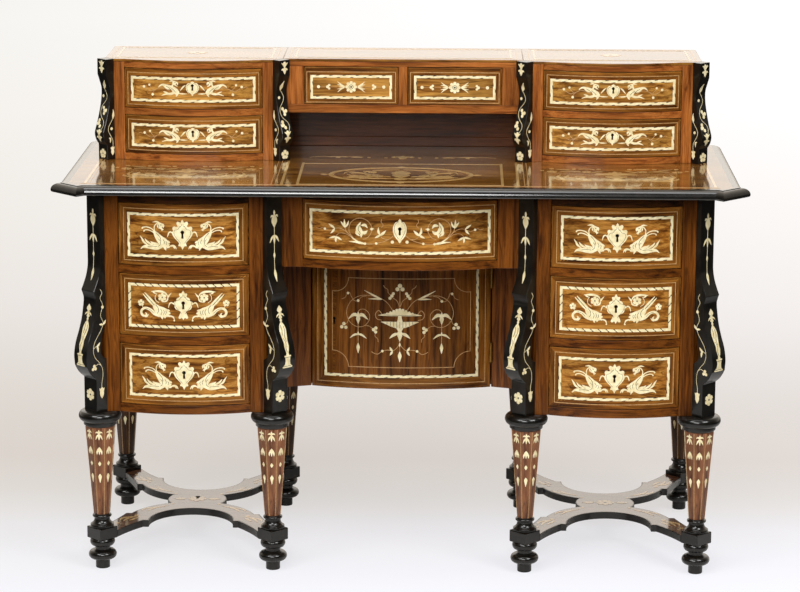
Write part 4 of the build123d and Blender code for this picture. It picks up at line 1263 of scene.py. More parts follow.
def banded_frame(inlay, edges, width=5.7, template=ribbon_notch, pitch=ribbon_pitch, turn=math.pi):
    """A bone frame inside a rectangle, notched along its four sides."""
    inlay.frame(edges, shrunk(edges, width))
    u0, v0, u1, v1 = shrunk(edges, width / 2)
    ring_way = [(u0, v0), (u1, v0), (u1, v1), (u0, v1)]
    points = [(*ring_way[i % 4], 0.0) for i in (0, 1, 1, 2, 2, 3, 3, 4)]
    path_object = flat_object("band_path", points, edges=[(0, 1), (2, 3), (4, 5), (6, 7)])
    run_tree(path_object, notch_tree, Notch=template, Pitch=pitch, Turn=turn, Finish=mastic)
    notches = path_object.data
    inlay.put(([v.co[:] for v in notches.vertices], [tuple(f.vertices) for f in notches.polygons]), INK,
              lay=inlay.press)
    bpy.data.objects.remove(path_object)


def panel(inlay, edge, line, band, width=5.7, **notching):
    """Cross-banding to the edge of a panel, a boxwood line in it, and the notched bone frame inside.
    Each of the three is given by the rectangle round it."""
    inlay.frame(edge, shrunk(band, 2), VENEER)
    inlay.frame(line, shrunk(line, 1.5), LINE)
    banded_frame(inlay, band, width, **notching)


def box(half, low, high, middle=0.0):
    """A rectangle about a middle."""
    return middle - half, low, middle + half, high


# %% [markdown]
# ## Drawer patterns
# Two griffins face a shield round the keyhole. The bottom and top drawers have one pair, with a
# leafy tail, and the middle drawers another, with a curled tail and a flower. Only the left beast is
# drawn: the right one is its mirror image.

# %% Pattern sheets for the pedestal drawers
leafy_griffin = """
dot: -46 20 6.2
leaf 4.4: -43 24, -39 21, -38.6 15.5
leaf 3.4: -46 15.5, -42 13, -38 11.8
leaf 3.4: -46 25.5, -53 28, -61 27
leaf 3.5: -44 17, -41.5 12, -42.5 9
stem 2: -51 25, -55 22, -57.7 17, -57.5 11, -56.5 6
stem 2.2: -57 8, -65 14, -75 16.3, -82 15.2
dot: -83 13.6 1.7, -79.6 7.4 1.4
stem 1.9: -57 4, -66 9, -74 10.6, -79.5 9
shape: -59 9 3, -54 2 10, -47 -7 15, -40 -14 19, -34 -18 16, -29 -19 6, -26.5 -18 1
leaf 5: -34 -10, -28 -14, -25 -15
leaf 5: -33 -22, -28 -24, -26 -25
shape: -38 -20 9, -36 -25 6, -34 -31 1
shape: -32 -26 2, -26 -22.4 2.6, -20 -21 4, -15 -23 3, -12.6 -28 1
leaf 2.4: -20 -22, -17 -25, -16.5 -28
shape: -44 -22 9, -53 -25 11, -64 -25 9, -75 -24 7, -82 -25.5 4, -87 -30 1
leaf 4.2: -70 -22, -80 -15, -83.5 -9, -88 -2.5
leaf 4.2: -60 -21, -72 -15, -78 -8
leaf 5: -50 -18, -60 -17, -66 -13
ink 0.9: -54 5, -49 0, -45 -6, -44 -12
ink 0.8: -49 -8, -45 -13, -46 -20, -50 -23
ink 0.8: -40 -8, -37 -13, -38 -18
ink 0.7: -34 -12, -32 -16, -34 -20
ink 0.8: -52 -24, -62 -23, -72 -24
ink 0.9: -50 22, -48 18, -49 15
ink 1.6: -44.4 21.4, -43.4 21.2
"""
curled_griffin = """
rose 6: -43 18 9
leaf 4.6: -66 29.5, -55 30.5, -44 30, -35 26, -31 18
leaf 3.4: -31 18, -34 11, -44 8
leaf 3: -63 29, -59 26.5, -55 25.5
leaf 3.2: -32 17, -29 22, -24 28
stem 1.2: -54 26, -57.5 20, -57 12, -50 6.5
shape: -58 4 3, -68 14 4.4, -80 27 1
shape: -60 -1 3, -70 9 4.6, -84 24 1
ink 1: -60 1.5, -70 12.5, -79 23
shape: -62 6 4, -57 -2 12, -50 -9 18, -42 -13 20, -35 -14 16, -30 -15 5
leaf 4: -36 -7, -30 -9, -28 -8
leaf 4: -33 -12, -28 -15, -26.5 -16
leaf 4: -34 -17, -29 -21, -28 -23
shape: -45 -18 8, -44 -23 6, -43 -28 1
leaf 5: -39 -19, -38 -23, -38 -26
shape: -36 -22 2, -28 -20.5 2.6, -21 -22.6 3, -18.6 -28 1.4
dot: -18.8 -30 1.7
shape: -50 -21 5, -60 -16 7.5, -68 -9 6, -77 -5.5 5, -84 -7.5 5, -88 -14 5, -85 -21 5, -79 -22 4,
-76.5 -18 3, -79 -15.5 1.5
leaf 3: -72 -18, -76 -23, -80 -25
rose 5: -88 5 7
stem 0.9: -86 0, -84 -4
ink 0.9: -57 2, -52 -4, -51 -11, -54 -16
ink 0.8: -47 -6, -44 -12, -46 -19
ink 0.8: -41 -8, -39 -13, -41 -18
ink 0.8: -36 -10, -35 -14, -37 -18
ink 0.7: -62 -15, -70 -8, -78 -6
"""
shield_arm = """
shape: -19 4 1.5, -24 7.5 2.6, -28 5 2.6, -30.5 -3 1.2
"""
scrolled_shield = [
    (0, 32), (2.4, 29), (3, 25.5), (6, 27), (9.5, 28.5), (12.2, 25.5), (11.5, 22), (8, 21), (9, 18),
    (12.5, 16.5), (16.5, 18.5), (19.8, 16.5), (20.5, 12.5), (18.5, 9.5), (21, 6), (21, 2), (18.5, -3),
    (14.5, -8), (10, -12.5), (6.5, -16.5), (5.4, -19), (8.6, -20.4), (8.6, -22.8), (4.6, -22.8),
    (2.6, -25), (0, -30.5)]
crowned_shield = [
    (0, 32), (2.4, 28.5), (3.4, 25.5), (7.6, 26.5), (8.6, 23.5), (6, 20.5), (7.5, 18), (12, 16.5),
    (14.5, 13), (13, 10.5), (17, 9.5), (20.5, 5.5), (20.5, 3), (17, 1), (18, -3), (15, -7.5),
    (10, -10), (6, -11.5), (4, -15), (4.5, -19), (9, -22), (10.5, -25), (8, -27.5), (5, -26.4),
    (3, -24.5), (0, -30)]
shield_engraving = """
ink 0.6: 4 20, 9 13, 15.5 11, 17 5, 14 -3, 7.5 -11, 3.5 -16
ink 0.6: 1.4 24, 2 20, 5 17.5
"""
print("strokes of the griffins:", leafy_griffin.count(":"), "and", curled_griffin.count(":"))

# %% Inlay of the pedestal drawers
rope_band = {"template": rope_notch, "turn": 0.0, "pitch": rope_pitch}
for side_name in sides:
    for level, (low, high) in openings.items():
        name = f"{side_name}_{level}_drawer"
        inlay = Inlay(f"{name}_inlay", drawer_faces[side_name].lay)
        middle = (low + high) / 2
        rope = level == "middle"
        panel(inlay, box(134.6, low + 1.9, high - 1.9), box(124.5, low + 10, high - 10.5),
              box(115.5, low + 18.7, high - 19.7), **(rope_band if rope else {}))
        inlay.pierced(crowned_shield if rope else scrolled_shield, pedestal_keyhole, 0, middle + 1)
        for sheet in (shield_arm, shield_engraving, curled_griffin if rope else leafy_griffin):
            inlay.draw(sheet, 0, middle, flips=(1, -1))
        inlay.make(name, "rosewood")

# %% [markdown]
# ## Gradin and frieze
# Small griffins with long tendrils on the bowed gradin drawers, daisies on the two flat ones, and
# flowering scrolls on the wide drawer in the frieze. Thin stems are boxwood, leaves are bone.

# %% Pattern sheets for gradin and frieze
small_griffin = """
dot: -38 13 4.6
leaf 3.2: -35.5 16, -31.5 13, -31.2 8.5
leaf 2.6: -38 9, -34 7.5, -31 6
leaf 3: -39 17, -44 17.6, -49 16
shape: -40 12 3, -42.5 7 4, -41.5 2 8, -37 -3 12, -33 -6 11, -28.5 -8 3
shape: -38 2 5, -47 4 8, -56 7 6.4, -64 9 4, -70 6 2.4, -72 3 1
leaf 3.6: -46 0, -54 2, -61 5.5
dot: -33 -6.5 5.4
shape: -31 -9 4, -33 -13 3.4, -35 -15.5 1
leaf 2.8: -28 -9, -20 -9.5, -11 -9.5
shape: -38 -7 5, -46 -10 5, -56 -10.5 3.4, -66 -14 1
leaf 2.8: -50 -9, -58 -6.5, -62 -5
leaf 3: -26 -3, -19 5.5, -14 9
line 1.2: -47 -5, -57 1, -66 2.5, -75 0, -81 -2.5, -90 -5, -98 -1, -103 3.5
line 1.1: -78 -2, -83 -6, -85 -11
line 1.1: -83 -3, -88 2, -92 7
line 1.0: -104 4, -109 2, -113 4, -117 2
dot: -85 -12 2.8, -104 4 2.8, -92 8 2.4
ink 0.8: -46 3, -39 -2, -36 -6
ink 0.7: -56 6, -50 3, -44 -3
ink 1.3: -37 14.2, -36.2 14.1
"""
gradin_shield = [(0, 16), (3, 14.5), (5, 12), (9, 12.5), (12.5, 9), (14, 4), (13, -2), (10, -7), (6, -10),
                 (3, -11.5), (1.5, -13.5), (0, -15.5)]
daisy_spray = """
leaf 2.6: -13 0, -20 0, -26 0
leaf 3: -13.4 1, -21 4.6, -29 11.4
leaf 3: -13.4 -1, -21 -4.6, -29 -11.4
leaf 2.2: -17 1.6, -24 4, -30 4.6
leaf 2.2: -17 -1.6, -24 -4, -30 -4.6
line 1: -29 0, -43 0
line 1: -53 0, -66 0
dot: -50 0 3.2, -46.5 3.4 2.6, -46.5 -3.4 2.6, -69 0 3.5
"""
frieze_spray = """
dot: -15 702 3.4
line 1.5: -13 715, -20 709, -32 703, -48 698.5, -61 697, -73 697.5
dot: -48 698.5 2.6, -71 697.5 2.6
shape: -73 697.5 3, -81 699 5, -91 700.5 3.6, -104 701 0.8
leaf 3: -84 701, -92 705, -101 712
line 1.4: -88 703, -98 711, -108 719
line 1.4: -106 717, -111 724, -112 731
line 1.4: -97 711, -104 722, -102 738, -91 748, -78 750, -66 745, -58 734, -58 722, -65 711, -75 706.5
leaf 4: -113 730, -117 736, -121.5 742
leaf 4.6: -112.6 729, -113.6 738, -114 747
leaf 4: -112 730, -107.5 736, -105 744
line 1.3: -106 718, -115 724.5, -125 728, -134 727
leaf 4.4: -134 727, -141 732, -147 736
leaf 4.4: -134 727, -138 721, -143 716
line 1.2: -136 726, -144 722, -150 723, -155 725, -161 727, -166 724.5, -173 726
dot: -155 725 2.6
line 1.3: -102 712, -112 717, -124 717.5, -131 712
leaf 4.2: -131 710, -138 708.5, -146 706
leaf 4.6: -131 711, -132 704, -131.5 698
leaf 4.2: -131 710, -125 706.5, -119 703
shape: -80 742 1, -84 734 7, -84 727 12, -79 719 8, -79 711 2
leaf 7: -80 722, -72 720, -66 725
leaf 6: -79 735, -71 736, -66 730
leaf 6: -86 728, -88 719, -82 713
ink 0.9: -82 736, -85 727, -80 718
dot: -57.5 728 2.8
leaf 3: -61 728, -57 729, -52 728.5
line 1.3: -24 707, -31 708, -37 711, -40 716
leaf 5: -40 716, -43.5 723, -43.5 732
leaf 5.4: -40 715, -34 720, -28 726
leaf 4.6: -40 716, -45 713, -51 710
line 1.2: -38 731, -34 737, -38 743, -37 749
"""
frieze_shield = [(0, 27), (2.5, 24), (4, 21), (8.5, 20), (11.5, 16), (14, 9), (14, 0), (11.5, -8),
                 (7.5, -14), (4.5, -17), (2.5, -21), (0, -24)]
print("strokes of half the wide drawer:", frieze_spray.count(":"))

# %% Inlay of the gradin drawers and the wide drawer
daisy_height = 977.5
for side_name in sides:
    for level, (low, high) in gradin_openings.items():
        name = f"gradin_{side_name}_{level}_drawer"
        inlay = Inlay(f"{name}_inlay", drawer_faces["gradin_" + side_name].lay)
        middle = (low + high) / 2
        panel(inlay, box(146.2, low + 1.9, high - 1.9), box(141.5, low + 7, high - 9),
              box(133.5, low + 15, high - 17.5))
        inlay.pierced(gradin_shield, gradin_keyhole, 0, middle + 1)
        for sheet in ("ink 0.5: 2 13, 10 9, 11.5 2, 8 -6, 2 -11", small_griffin):
            inlay.draw(sheet, 0, middle, flips=(1, -1))
        inlay.make(name, "rosewood")
    low, high = flat_opening
    name = f"gradin_centre_{side_name}_drawer"
    inlay = Inlay(f"{name}_inlay", drawer_faces["flat_" + side_name].lay)
    panel(inlay, box(98.1, low + 1.9, high - 1.9), box(94.5, low + 4, high - 10.5),
          box(86.2, low + 12, high - 18), width=5.4)
    inlay.draw("rose 8: 0 0 12.5", 0, daisy_height)
    inlay.ring(0, daisy_height, 4.4, 4.4, 0.9, INK, sides=20)
    inlay.draw(daisy_spray, 0, daisy_height, flips=(1, -1))
    inlay.make(name, "rosewood")
inlay = Inlay("centre_drawer_inlay", frieze_face.lay)
panel(inlay, box(200.6, 661, 783.6), box(197, 667, 776), box(188, 675.5, 765.7), width=6.0)
inlay.pierced(frieze_shield, pedestal_keyhole, 0, 723.25)
inlay.draw("ink 0.6: 2 22, 9 16, 11 6, 9 -4, 3 -14", 0, 723, flips=(1, -1))
inlay.draw(frieze_spray, flips=(1, -1))
inlay.make("centre_drawer", "rosewood")

# %% [markdown]
# ## The cupboard door
# A footed urn of fruit in the middle, a wide scroll on either side with a hanging palmette, and a
# thin line round them with corners that curve inwards.

# %% Pattern sheets for the door
door_urn = """
dot: 0 566 4.6, -5.4 558.6 4.4, 5.4 558.6 4.4
line 1.6: 0 557, 0 516
shape: -46 501.5 0.8, -30 503 5, -14 505 9.5, 0 506.5 12, 14 505 9.5, 30 503 5, 46 501.5 0.8
dot: 0 514 3.4, -6.5 513 3.2, 6.5 513 3.2, -13 510.6 3, 13 510.6 3, -20 508 2.6, 20 508 2.6,
-27 505.6 2.2, 27 505.6 2.2
shape: 0 501 7, 0 494 9, 0 486 13
shape: -40 487.5 1, -28 485 6.4, -14 482 12, 0 480.5 15, 14 482 12, 28 485 6.4, 40 487.5 1
shape: 0 473 14, 0 469 9, 0 466 4
shape: 0 471 5, 0 461 11.5, 0 453 7, 0 445 0.8
leaf 6.4: -3 463, -13 459, -22 451.5
leaf 6.4: 3 463, 13 459, 22 451.5
line 1.4: 0 446, 0 421
shape: 0 442 1, 0 438 3.6, 0 433 1
shape: 0 422 2, 0 414 8, 0 407 5, 0 400 0.8
ink 0.8: -27 488, -27.5 481.6
ink 0.8: -20 487.6, -20 479
ink 0.8: -13 488, -13 477
ink 0.8: -6.5 488, -6.5 474.5
ink 0.8: 0 488, 0 474
ink 0.8: 6.5 488, 6.5 474.5
ink 0.8: 13 488, 13 477
ink 0.8: 20 487.6, 20 479
ink 0.8: 27 488, 27.5 481.6
ink 0.7: -34 503, -14 502, 14 502, 34 503
"""
door_spray = """
line 1.5: -38 504, -45 512, -52 504, -49 494, -39 491
line 1.3: -1 521, -6 533, -15 540
dot: -17 544 3.6, -21 539 3.4, -14 549 3.2
line 1.2: -20 546, -25 551, -26 558, -32 562, -35 567
line 1.3: -16 514, -26 528, -40 538, -60 543.5, -84 543, -104 531, -114 509, -109 488, -94 476,
-77 477, -66 489, -65 503, -74 513, -84 513, -89 508
leaf 4: -38 536, -55 544, -76 555
leaf 3.6: -38 536, -52 537, -67 536.5
line 1.1: -100 533, -94 531, -89 532, -82 540, -71 543
line 1.1: -99 533, -104 541, -107 549, -112 547, -117 538, -125 534
dot: -89 532 3, -111 547.5 2.8
line 1.2: -110 492, -112 484, -118 478
dot: -120 480.5 3.8, -124.5 473.5 3.8, -115.6 472.6 3.6
line 1.2: -74 478, -66 477.5, -58 472
dot: -56 470 3.6, -51 473.5 3.6, -51.5 465 3.6
line 1.2: -51 463, -53 456, -47 450, -46 443
leaf 7.4: -88 498, -98 501.5, -110 491.5
leaf 7.4: -90 498, -80 501.5, -68 491.5
leaf 4.4: -89 498, -89 503, -89 508
shape: -89 501 4, -89 493 9, -89 488 6, -89 481 0.8
line 1.4: -89 482, -89 436
leaf 4.6: -88 459, -97 457.5, -107 450
leaf 4.6: -90 459, -81 457.5, -71 450
leaf 3: -89 457, -89 462, -89 465
shape: -89 439 2, -89 431 7, -89 425 5, -89 417.5 0.8
line 1.3: -1 438, -7 430, -15 424.5, -26 426, -37 423.5, -46 417, -54 418, -60 421.5
leaf 4.8: -15 424, -19 428, -21 433
leaf 4.8: -15 424, -18 419, -21 414
dot: -37 423.5 2.8
"""
cartouche = [(-113, 581), (113, 581), (123, 558), (148, 551), (148, 421.5), (123, 411.5), (113, 387.5),
             (-113, 387.5), (-123, 411.5), (-148, 421.5), (-148, 551), (-123, 558)]
cartouche_width = 1.5
print("strokes of the urn and of each scroll:", door_urn.count(":"), "and", door_spray.count(":"))

# %% Inlay of the door
inlay = Inlay("cupboard_door_inlay", door_face.lay)
panel(inlay, (-192.0, leg_height + 2, 191.2, frieze_bottom - 4), box(181.5, 352, 628),
      box(166, 365, 615), 5.9)
for i in (0, 3, 6, 9):
    start, *corner = (cartouche[(i + step) % 12] for step in range(4))
    straight = [(*p, cartouche_width) for p in (start, corner[0])]
    inlay.stroke(flowing(straight, 20), LINE)
    inlay.stroke([(*p, cartouche_width) for p in arc(*corner, 10)], LINE)
inlay.draw(door_urn, -3)
inlay.draw(door_spray, -3, flips=(1, -1))
inlay.make("cupboard_door", "rosewood")

# %% [markdown]
# ## Pilasters and legs
# The black consoles carry a hanging ornament in front, with a draped term on a small pedestal over
# the belly, and a vine on each flank. The work is pressed onto the console's own curved front.


# %% Pattern sheets for the pilasters and legs
tiered_bud = """
shape: 0 2 3, 0 5 6, 0 10 12, 0 12 7
leaf 3: -3 8, -6 11, -8.6 13
leaf 3: 3 8, 6 11, 8.6 13
shape: 0 3 3, 0 -1 8, 0 -5 8, 0 -11.5 1
leaf 5: 0 -2, -5 -1, -8.4 -2.4
leaf 5: 0 -2, 5 -1, 8.4 -2.4
"""
console_front = """
shape: 0 765 1, 0 760 5.4, 0 756 4, 0 752 9, 0 747 14, 0 741 14.6, 0 735 9, 0 729 1
leaf 4: -3 753, -7 753.5, -9.6 750
leaf 4: 3 753, 7 753.5, 9.6 750
stem 1.1: 0 729, 0 712
leaf 4.8: -1 713, -7 707, -12 698
leaf 5.4: 0 713, 0 704, 0 693
leaf 4.8: 1 713, 7 707, 12 698
stem 1.1: 0 693, 0 641
shape: 0 676 2, 0 671 5.4, 0 666 2
shape: 0 642 1.6, 0 634 7, 0 626 5, 0 617 0.8
shape: 0 567 2, 0 563 9, 0 559 13.4, 0 555.4 9, 0 554 2
stem 1.8: -3.6 552.6, 3.6 552.6
leaf 3.2: 0 549.6, -6 549.4, -10.4 544.6
leaf 3.2: 0 549.6, 6 549.4, 10.4 544.6
shape: 0 552 3, 0 547 6, 0 543.5 9.6, 0 540.6 4, 0 537.6 6, 0 534 3
shape: 0 535 2, 0 529 11, 0 521 17, 0 513 17, 0 504 14, 0 494 10.6, 0 486 12, 0 478 9, 0 472 5.6, 0 469 8
ink 1: -4 528, -2.4 519, -4 508
ink 1: 3.6 526, 4.6 516, 1 506, 2 495
ink 0.9: -3.6 502, 0 492, -2.6 482, 0 474
stem 3.4: -7.2 465.8, 7.2 465.8
shape: 0 465.4 1.2, 0 465 12.4, 0 455 12, 0 447 14, 0 446.6 1.2
stem 3.2: -8.4 446, 8.4 446
stem 3.4: -11.4 443, 11.4 443
ink 0.9: -6 463.4, 6 463.4
ink 0.9: -9.4 444.6, 9.4 444.6
rose 6: 0 376.5 12.6
"""
console_flank = """
stem 0.8: 14 600, 10 591, 15 582, 10 571, 9 562, 13 552, 14 543, 9 533, 8 527, 13 515, 22 503, 30 491,
34 479, 34 469, 30 458, 21 448, 14 438, 11 428, 11 415, 14 402, 14 391
dot: 9 562 3.4
leaf 4.6: 9 525, 4 529, 1.4 534
leaf 4.6: 8 525, 13 526, 18 526.6
stem 0.8: 33 478, 28 481, 25 481.5
leaf 4.8: 26 480, 20.6 484, 17 488.5
leaf 5: 25 482, 22.6 476, 22 468.5
stem 0.8: 15 440, 22 443.5, 28 441
dot: 32.6 440.6 3.5, 29.6 435 3.3, 36 434.6 3.3
shape: 14 389 8, 14 385 9.4, 14 380 10, 14 375 7.4, 14 371 2.4
leaf 3: 10.6 384, 9.6 388, 7.6 392
leaf 3: 17.4 384, 18.4 388, 20.4 392
leaf 3: 14 385, 14 389, 14 393
"""
gradin_front = """
shape: 3 992 0.8, 0.4 987 4, -2 980 8.8, -3.4 975.5 5, -4 972 1
stem 0.9: -4 973, 1 966, 5 957, 2 948, -7 937, -9.4 925, -4 914, 6 905, 8.4 896, 4 886
dot: -7.5 957 3.2
dot: -1.6 933 3.6, 6.6 928 3.8, 2.4 921.6 3.6, 1.6 927.6 3
dot: -8 906.4 3.6, -10 899.6 3.8, -2.6 894.6 3.6, -6.6 900.4 3
rose 5: 0 836 10
"""
gradin_flank = """
shape: 4.4 930 0.8, 3.4 924 3, 4 917 6, 5 911 2
stem 0.9: 5 911, 11 902, 17 893, 17 884, 11 873, 6 864, 6 848
dot: 9 889 3.2
leaf 4: 16 870, 12 867, 13 859
shape: 7 848 5, 7 843 7.4, 7 838 8, 7 833 2
leaf 3: 4.4 844, 3.6 847, 2.6 850
leaf 3: 9.6 844, 10.4 847, 11.4 850
"""
shaft_face = """
leaf 4.6: 0 294, 0 299, 0 304
leaf 3.8: 0 296, -4 299, -7.4 297
leaf 3.8: 0 296, 4 299, 7.4 297
leaf 3.8: 0 295, -4 290, -7 282.5
leaf 4: 0 295, 0 288, 0 281.5
leaf 3.8: 0 295, 4 290, 7 282.5
shape: 0 266 1.5, 0 262 8, 0 258 9, 0 256 3
leaf 3.6: -3.4 261, -4.6 256, -5 250
leaf 3.6: 3.4 261, 4.6 256, 5 250
leaf 3.4: 0 260, 0 255, 0 249.5
shape: 0 235 0.6, 0 230 6.4, 0 225 0.6
shape: 0 208 0.8, 0 203 7, 0 198 5.4, 0 188 0.6
"""
print("strokes on a console:", console_front.count(":") + 2 * console_flank.count(":"))

# %% Inlay of the pilasters
def front_of(corner, profile):
    """Presses flat work onto the curved front of a console."""
    heights = np.array(profile)[::-1]

    def lay(flat):
        across, up, out = np.asarray(flat, float).T
        face = np.interp(up, heights[:, 1], heights[:, 0])
        return corner.lay(np.column_stack([across, face + out, up]))
    return lay


def flank_of(corner, side, width):
    """Presses flat work onto a flank of a console; it is given outwards, up and off the flank."""
    def lay(flat):
        outwards, up, out = np.asarray(flat, float).T
        return corner.lay(np.column_stack([side * (width / 2 + out), outwards, up]))
    return lay


for name, places, profile, cant, front_sheet, flank_sheet in (
        ("lower", lower_corners, lower_face, cant_leg, console_front, console_flank),
        ("gradin", gradin_corners, gradin_face, gradin_cant, gradin_front, gradin_flank)):
    inlay = Inlay(f"{name}_pilaster_inlay", None)
    for corner in places:
        inlay.press = front_of(corner, profile)
        inlay.draw(front_sheet, steps=3)
        if name == "gradin":
            inlay.draw(tiered_bud, 0, 1018.5, steps=3)
            inlay.draw(tiered_bud, 0, 873, steps=3)
        for side in (-1, 1):
            inlay.press = flank_of(corner, side, cant * math.sqrt(2))
            inlay.draw(flank_sheet, steps=3)
    inlay.make(slot="ebonised_wood")


# %% Inlay of the leg shafts
def shaft_flat(number):
    """Presses flat work onto one of the eight flats of a shaft."""
    turn = number * quarter / 2

    def lay(flat):
        across, up, out = np.asarray(flat, float).T
        share = (up - shaft_bottom) / (shaft_top - shaft_bottom)
        reach = (shaft_flats[0] + share * (shaft_flats[1] - shaft_flats[0])) / 2 + out
        return np.column_stack([reach * math.cos(turn) - across * math.sin(turn),
                                reach * math.sin(turn) + across * math.cos(turn), up])
    return lay


motifs, arris_lines = Inlay("shaft_motifs", None), Inlay("shaft_arris_lines", None)
edge_share = math.tan(math.pi / 8)
for number in range(8):
    motifs.press = arris_lines.press = shaft_flat(number)
    motifs.draw(shaft_face, steps=2)
    for end in (-1, 1):
        arris_lines.stroke([(end * (reach / 2 * edge_share - 0.6), z, 0.6) for reach, z in zip(
            shaft_flats, (shaft_bottom + 1, shaft_top - 1))], LINE)
settle(repeat(motifs, leg_places, bone), "desk")
settle(repeat(arris_lines, leg_places, boxwood), "desk")

# %% [markdown]
# ## Tops
# The writing top is laid out like a small garden: an oval with an urn and two griffins between
# broad bone bars in the middle, and on either side a tiered urn among beasts and flowers.


# %% Pattern sheets for the tops
oval_scene = """
leaf 7: -30 48, -75 46, -118 56
leaf 5: -2 44, -40 40, -84 42
leaf 5: -60 132, -34 142, -4 146
leaf 4: -118 96, -112 116, -96 128
"""
oval_urn = """
shape: 0 42 30, 0 48 24, 0 53 9, 0 60 9, 0 66 22, 0 78 36, 0 88 34, 0 94 22, 0 100 30, 0 104 40
dot: 0 110 9, -12 109 7, 12 109 7, -6 118 7, 6 118 7, 0 126 6
ink 1.6: -14 84, 14 84
ink 1.6: -18 74, 18 74
"""
side_urn = """
shape: 0 44 34, 0 50 14, 0 58 8, 0 66 22, 0 76 40, 0 84 44, 0 92 16, 0 98 10
shape: -44 105 1, -28 106 6, 0 107 9, 28 106 6, 44 105 1
shape: -40 118 1, -24 118 5, 0 119 8, 24 118 5, 40 118 1
shape: 0 108 10, 0 114 7, 0 124 14, 0 132 10, 0 144 1
dot: -10 128 4, 10 128 4
ink 1.6: -16 80, 16 80
"""
side_spray = """
shape: -112 18 1, -109 40 7, -114 62 9, -120 80 6, -113 102 1
leaf 7: -110 40, -124 52, -128 66
leaf 7: -112 70, -100 84, -98 96
rose 5: -58 138 10
rose 5: -130 138 11
leaf 6: -70 140, -92 146, -114 140
leaf 5: -48 132, -34 138, -22 150
dot: -84 170 5, -130 172 5, -32 168 5, -150 150 4
leaf 5: -92 166, -108 164, -122 170
leaf 5: -40 166, -56 172, -74 170
"""
compartment_spray = """
leaf 5: -118 300, -138 303, -158 300
dot: -138 292 5, -72 294 4, -36 292 4
leaf 4: -86 292, -98 296, -110 292
line 1.6: -84 298, -104 304, -124 300
line 1.6: -152 298, -170 304, -188 298, -198 292
leaf 5: -16 292, -22 300, -18 308
"""
compartment_urn = """
shape: -20 302 1, -10 303 6, 0 304 9, 10 303 6, 20 302 1
shape: 0 300 8, 0 294 20, 0 288 12, 0 284 16
dot: 0 311 4
"""


# %% Inlay of the writing top
def on_top(level):
    """Presses flat work onto a level top. It is drawn along the desk, and back from the front legs."""
    return lambda flat: np.asarray(flat, float) + (0, front_leg_y, level)


inlay = Inlay("writing_top_inlay", on_top(writing_height), aged_bone)
# how far out from the middle, and from where to where
bone_bars = ((208, -30, 221), (240, -35, 240), (638, -33, 420))
boxwood_lines = ((253, -33, 250), (261, -33, 250), (630, -33, 250))
oval_back, oval_across, oval_deep = 88, 146, 84
side_urn_x = 443
for bars, width, skin in ((bone_bars, 5.5, BONE), (boxwood_lines, 1.6, LINE)):
    for x, low, high in bars:
        for side in sides.values():
            inlay.stroke([(side * x, v, width) for v in np.linspace(low, high, 8)], skin)
for v in (-28, 216):
    inlay.stroke([(x, v, 4) for x in np.linspace(-208, 208, 24)], BONE)
for v, width in ((-41, 3), (-35.5, 1.6)):
    inlay.stroke([(x, v, width) for x in np.linspace(-646, 646, 60)], LINE)
for inset, width, skin in ((0, 7, BONE), (6.5, 1.4, LINE)):
    inlay.ring(0, oval_back, oval_across - inset, oval_deep - inset, width, skin, sides=96)
inlay.draw("shape: -166 88 1, -158 88 8, -150 88 3\ndot: -144 88 6", flips=(1, -1))
inlay.draw("shape: 0 184 1, 0 178 16, 0 172 4\nshape: 0 2 4, 0 -4 16, 0 -10 1")
inlay.draw(oval_scene, flips=(1, -1))
inlay.draw(oval_urn)
inlay.draw(leafy_griffin, -6, 92, flips=(1,), size=1.2)
inlay.draw(leafy_griffin, 6, 92, flips=(-1,), size=1.2)
for side in sides.values():
    middle = side * side_urn_x
    inlay.draw(side_urn, middle)
    inlay.draw(side_spray, middle, flips=(1, -1))
    inlay.draw(leafy_griffin, middle - 26, 58, flips=(1,))
    inlay.draw(leafy_griffin, middle + 26, 58, flips=(-1,))
inlay.draw(compartment_urn)
inlay.draw(compartment_spray, flips=(1, -1))
inlay.make(slot="rosewood")

# %% Inlay of the gradin's top
def board_border(inlay, edges):
    """The border of one board of the gradin's top: a line, and a notched band inside it."""
    inlay.frame(edges, shrunk(edges, 2.4), LINE)
    banded_frame(inlay, shrunk(edges, 10), 6.2)


board_margin, bank_front, middle_front, border_back, rose_back = 12, 268, 284, 443, 356
inlay = Inlay("gradin_top_inlay", on_top(gradin_top), aged_bone)
for side in sides.values():
    board_border(inlay, box(gradin_half - board_margin, bank_front, border_back, side * pedestal_x))
    inlay.draw("rose 8: 0 0 22", side * pedestal_x, rose_back)
board_border(inlay, box(gradin_gap - board_margin, middle_front, border_back))
inlay.make(slot="rosewood")

# %% Inlay of the stretchers
stretcher_sheet = """
rose 8: 0 0 20
leaf 8: 24 0, 36 4, 50 0
leaf 8: -24 0, -36 4, -50 0
leaf 7: 58 -52, 84 -70, 100 -96
leaf 6: 84 -66, 104 -76, 112 -92
dot: 118 -128 5, 50 -38 4
leaf 7: 118 -134, 134 -150, 142 -172
leaf 6: 126 -136, 146 -150, 150 -166
leaf 6: 112 -138, 122 -156, 130 -166
dot: 152 -184 4
"""
inlay = Inlay("stretcher_inlay", None, aged_bone)
for side in sides.values():
    centre = np.array([side * pedestal_x, stretcher_y, stretcher_top + veneer_rise])
    for flip in (1, -1):
        inlay.press = lambda flat, centre=centre, flip=flip: np.asarray(flat, float) * (1, flip, 1) + centre
        inlay.draw(stretcher_sheet, flips=(1, -1), steps=3)
inlay.make(slot="ebonised_wood")

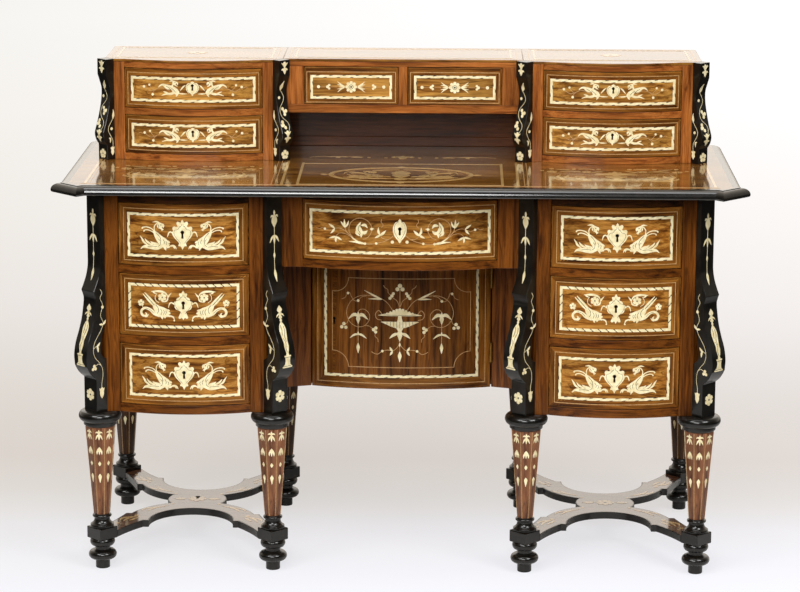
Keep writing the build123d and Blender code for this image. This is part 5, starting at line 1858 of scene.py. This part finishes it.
# %% [markdown]
# ## Side veneers
# The outer sides of the pedestals and of the gradin are veneered with the grain upright, inside a
# cross-banded border between boxwood lines. The cheeks of the kneehole are plain dark rosewood.

# %% Side veneers
FIELD = 4
field_top = 0.03  # the field lies a hair lower than its border
border_width = 26


def side_veneer(name, wall_x, outward, edges, veneer, bordered=True):
    """A leaf of veneer on a side wall; edges are its front and bottom, then its back and top."""
    leaf = Inlay(name, lambda flat: np.column_stack([wall_x + outward * flat[:, 2], flat[:, :2]]))
    leaf.finishes += (veneer,)
    leaf.put(prism(rectangle(*edges), slip_depth, field_top), FIELD, "y", leaf.press)
    if bordered:
        leaf.frame(shrunk(edges, 0.4), shrunk(edges, border_width), VENEER)
        for inset in (border_width - 1, border_width + 5):
            leaf.frame(shrunk(edges, inset), shrunk(edges, inset + 1.6), LINE)
    leaf.make(slot="rosewood")


for side_name, side in sides.items():
    side_veneer(f"{side_name}_pedestal_side_veneer", side * (pedestal_x + pedestal_half), side,
                (front_y + cant_leg, leg_height, back_y, top_bottom), drawer_rosewood)
    # the gradin's sides take the lighter copy of the rosewood: painted light
    side_veneer(f"{side_name}_gradin_side_veneer", side * (pedestal_x + gradin_half), side,
                (gradin_y + gradin_cant, writing_height, gradin_back, gradin_top - top_board),
                painted_light_gradin_rosewood)
    side_veneer(f"{side_name}_kneehole_cheek_veneer", side * kneehole_half, -side,
                (front_y + cant_leg, leg_height, cupboard_y - stile_forward, frieze_bottom),
                dark_rosewood, bordered=False)

# %% [markdown]
# ## The joiner's own boards
# Case boards, drawer boxes, locks and hinges keep their solids and only get a finish.

# %% Finishes on the joiner's solids
# the compartment's carcass takes the boards with painted shade
finish_by_ending = {"_box": box_oak, "_lock": lock_iron, "leaves": hinge_brass,
                    "gradin_centre_carcass": shelf_rosewood_painted_shade}
for name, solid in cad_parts.items():
    if solid.hide_render:
        continue
    wears = [material for ending, material in finish_by_ending.items() if name.endswith(ending)]
    solid.data.materials.clear()
    solid.data.materials.append(wears[0] if wears else case_oak)

# %% [markdown]
# ## Tidy up
# The two notch templates are removed.

# %% Remove the notch templates
for template in (ribbon_notch, rope_notch):
    bpy.data.objects.remove(template)
